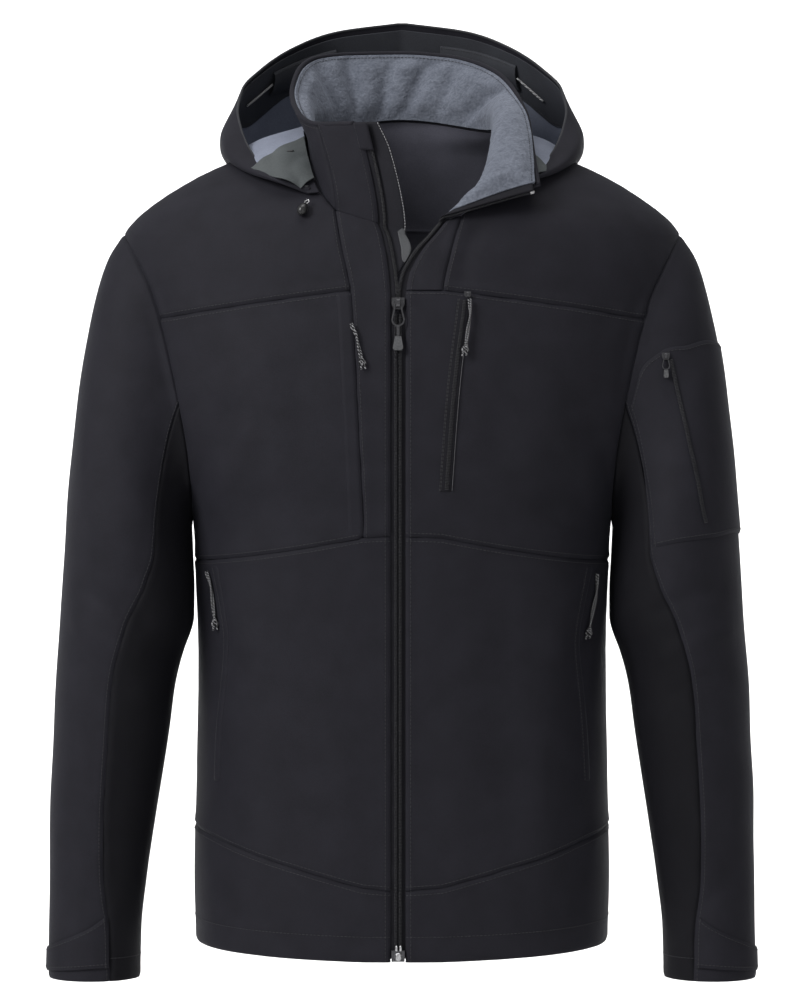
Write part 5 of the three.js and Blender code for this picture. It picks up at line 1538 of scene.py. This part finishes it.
def build_toggle():
    half = TOGGLE["half"]
    centre, n = raised(*TOGGLE["at"], TOGGLE["lift"])
    turn = math.radians(TOGGLE["turn"])
    up = unit(np.cross(n, [1.0, 0, 0]))
    right = np.cross(up, n)
    axis = up * math.cos(turn) - right * math.sin(turn)
    t = np.linspace(0.001, math.pi - 0.001, 24)
    radius = np.maximum(TOGGLE["radius"] * np.sin(t) * (1 + 0.18 * np.cos(t)), 0.02)
    line = centre - axis * (np.cos(t) * half)[:, None]
    tube("hood_toggle_drop", line, radius, 24, PLASTIC, nodes=["hood_toggle"], slot="black_plastic")
    loop = np.linspace(0, 2 * math.pi, 30)[:, None]
    ring = centre + axis * (half + 1.4 + 2.2 * np.cos(loop)) + right * 1.7 * np.sin(loop)
    tube("hood_toggle_loop", ring, 0.55, 8, STEEL, slot="gunmetal")


# Hard pieces of the frame keep their shape and get a finer finish
def dress_hardware():
    bails = ("zip_pull_bail", "sleeve_pull_bail")
    for name in ("zip_slider", *bails, "sleeve_zip_slider", "pocket_slider_chest_left"):
        finish(name, METAL, 0.25)
    finish("zip_box", METAL, 0.4)
    finish("zip_pull_grip", GRIP, 0.6)
    finish("sleeve_pull_grip", GRIP, 0.35)


def finish(name, material, width):
    node = frame["nodes"][name]
    for index in range(len(node.material_slots)):
        node.material_slots[index].link = "OBJECT"
        node.material_slots[index].material = material
    bevel = node.modifiers.new("edge", "BEVEL")
    bevel.width = width * MM
    bevel.segments = 2


# Bright plate on the zip's box and the two pins that stand up from it
def build_zip_foot():
    low, high = (np.array(corner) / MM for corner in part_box("zip_box"))
    middle = (low + high) / 2
    up, out = np.array([[0.0, 0, 1]]), np.array([[0.0, -1, 0]])
    plate = np.array([[middle[0] + 0.3, low[1] - 0.2, middle[2] - 0.6]])
    bars("zip_foot_plate", plate, up, out, (3.4, 3.0, 0.9), STEEL, slot="gunmetal")
    pins = np.array([[middle[0] + across, low[1] + 0.6, high[2] + 1.6] for across in (-1.4, 2.2)])
    both = (np.repeat(up, 2, 0), np.repeat(out, 2, 0))
    bars("zip_foot_pins", pins, *both, (2.8, 1.2, 0.9), STEEL, slot="gunmetal")


def build_stitches():
    lines = [even(line, n, STITCH["pitch"]) for line, n in STITCH_LINES]
    bars("topstitching", *map(np.concatenate, zip(*lines)), STITCH["half"], THREAD)


# Pale floor that turns up into a plain backdrop, by distance behind the jacket and height in metres
FLOOR_PROFILE = [
    (-6, -1.22), (2.75, -1.22), (3.37, -1.16), (3.87, -0.94), (4.18, -0.48), (4.3, 0.2), (4.3, 0.77),
]


def build_stage():
    vertices = [(x, y, z) for x in (-6.0, 6.0) for y, z in FLOOR_PROFILE]
    count = len(FLOOR_PROFILE)
    faces = [(k, k + 1, k + 1 + count, k + count) for k in range(count - 1)]
    mesh = bpy.data.meshes.new("floor")
    mesh.from_pydata(vertices, [], faces)
    mesh.shade_smooth()
    shader = Shader("floor")
    shader.colour(shader.noise(6, 2.0), [(0.0, (0.86, 0.86, 0.865)), (1.0, (0.9, 0.9, 0.9))])
    shader.set(Roughness=0.95)
    mesh.materials.append(shader.material)
    floor = bpy.data.objects.new("floor", mesh)
    bpy.context.scene.collection.objects.link(floor)


def area_light(name, place, target, size, energy):
    data = bpy.data.lights.new(name, "AREA")
    data.shape = "RECTANGLE"
    data.size, data.size_y = size
    data.energy = energy
    lamp = bpy.data.objects.new(name, data)
    lamp.location = place
    lamp.rotation_euler = (Vector(target) - Vector(place)).to_track_quat("-Z", "Y").to_euler()
    bpy.context.scene.collection.objects.link(lamp)


def build_lights():
    world = bpy.data.worlds.new("studio")
    bpy.context.scene.world = world
    world.use_nodes = True
    background = world.node_tree.nodes["Background"]
    background.inputs["Color"].default_value = (1.0, 1.0, 1.0, 1)
    background.inputs["Strength"].default_value = 0.38
    area_light("key", (-2.05, -1.7, 1.3), (0, 0, -0.35), (1.1, 1.5), 69)
    area_light("fill", (0.9, -2.9, -0.5), (0, 0, -0.25), (1.4, 1.4), 4.5)
    area_light("top", (0, -0.4, 2.2), (0, 0, -0.3), (2.0, 1.2), 22)
    for side in (-1, 1):
        area_light(f"backdrop_{side}", (side * 1.86, 1.88, 0.95), (side * 0.75, 4.24, -0.42), (1.5, 2.0), 84)


# Camera straight in front; the lens frames a width in metres at the jacket's distance
CAMERA = {"distance": 3.2, "width": 0.72, "x": -0.0018, "z": -0.333, "sensor": 36}


def build_camera():
    data = bpy.data.cameras.new("camera")
    data.sensor_fit = "HORIZONTAL"
    data.sensor_width = CAMERA["sensor"]
    data.lens = CAMERA["sensor"] * CAMERA["distance"] / CAMERA["width"]
    camera = bpy.data.objects.new("camera", data)
    camera.location = (CAMERA["x"], -CAMERA["distance"], CAMERA["z"])
    camera.rotation_euler = (math.pi / 2, 0, 0)
    bpy.context.scene.collection.objects.link(camera)
    bpy.context.scene.camera = camera
    bpy.context.scene.view_settings.view_transform = "Standard"


for half in ("right", "left"):
    build_front(half)
build_back()
SLEEVES = {half: build_sleeve(half) for half in ("right", "left")}
build_collar()
build_hood()
build_zip()
build_wind_flap()
build_pockets(SLEEVES)
build_pulls()
build_hood_cords()
build_toggle()
dress_hardware()
build_zip_foot()
build_stitches()
build_stage()
build_lights()
build_camera()
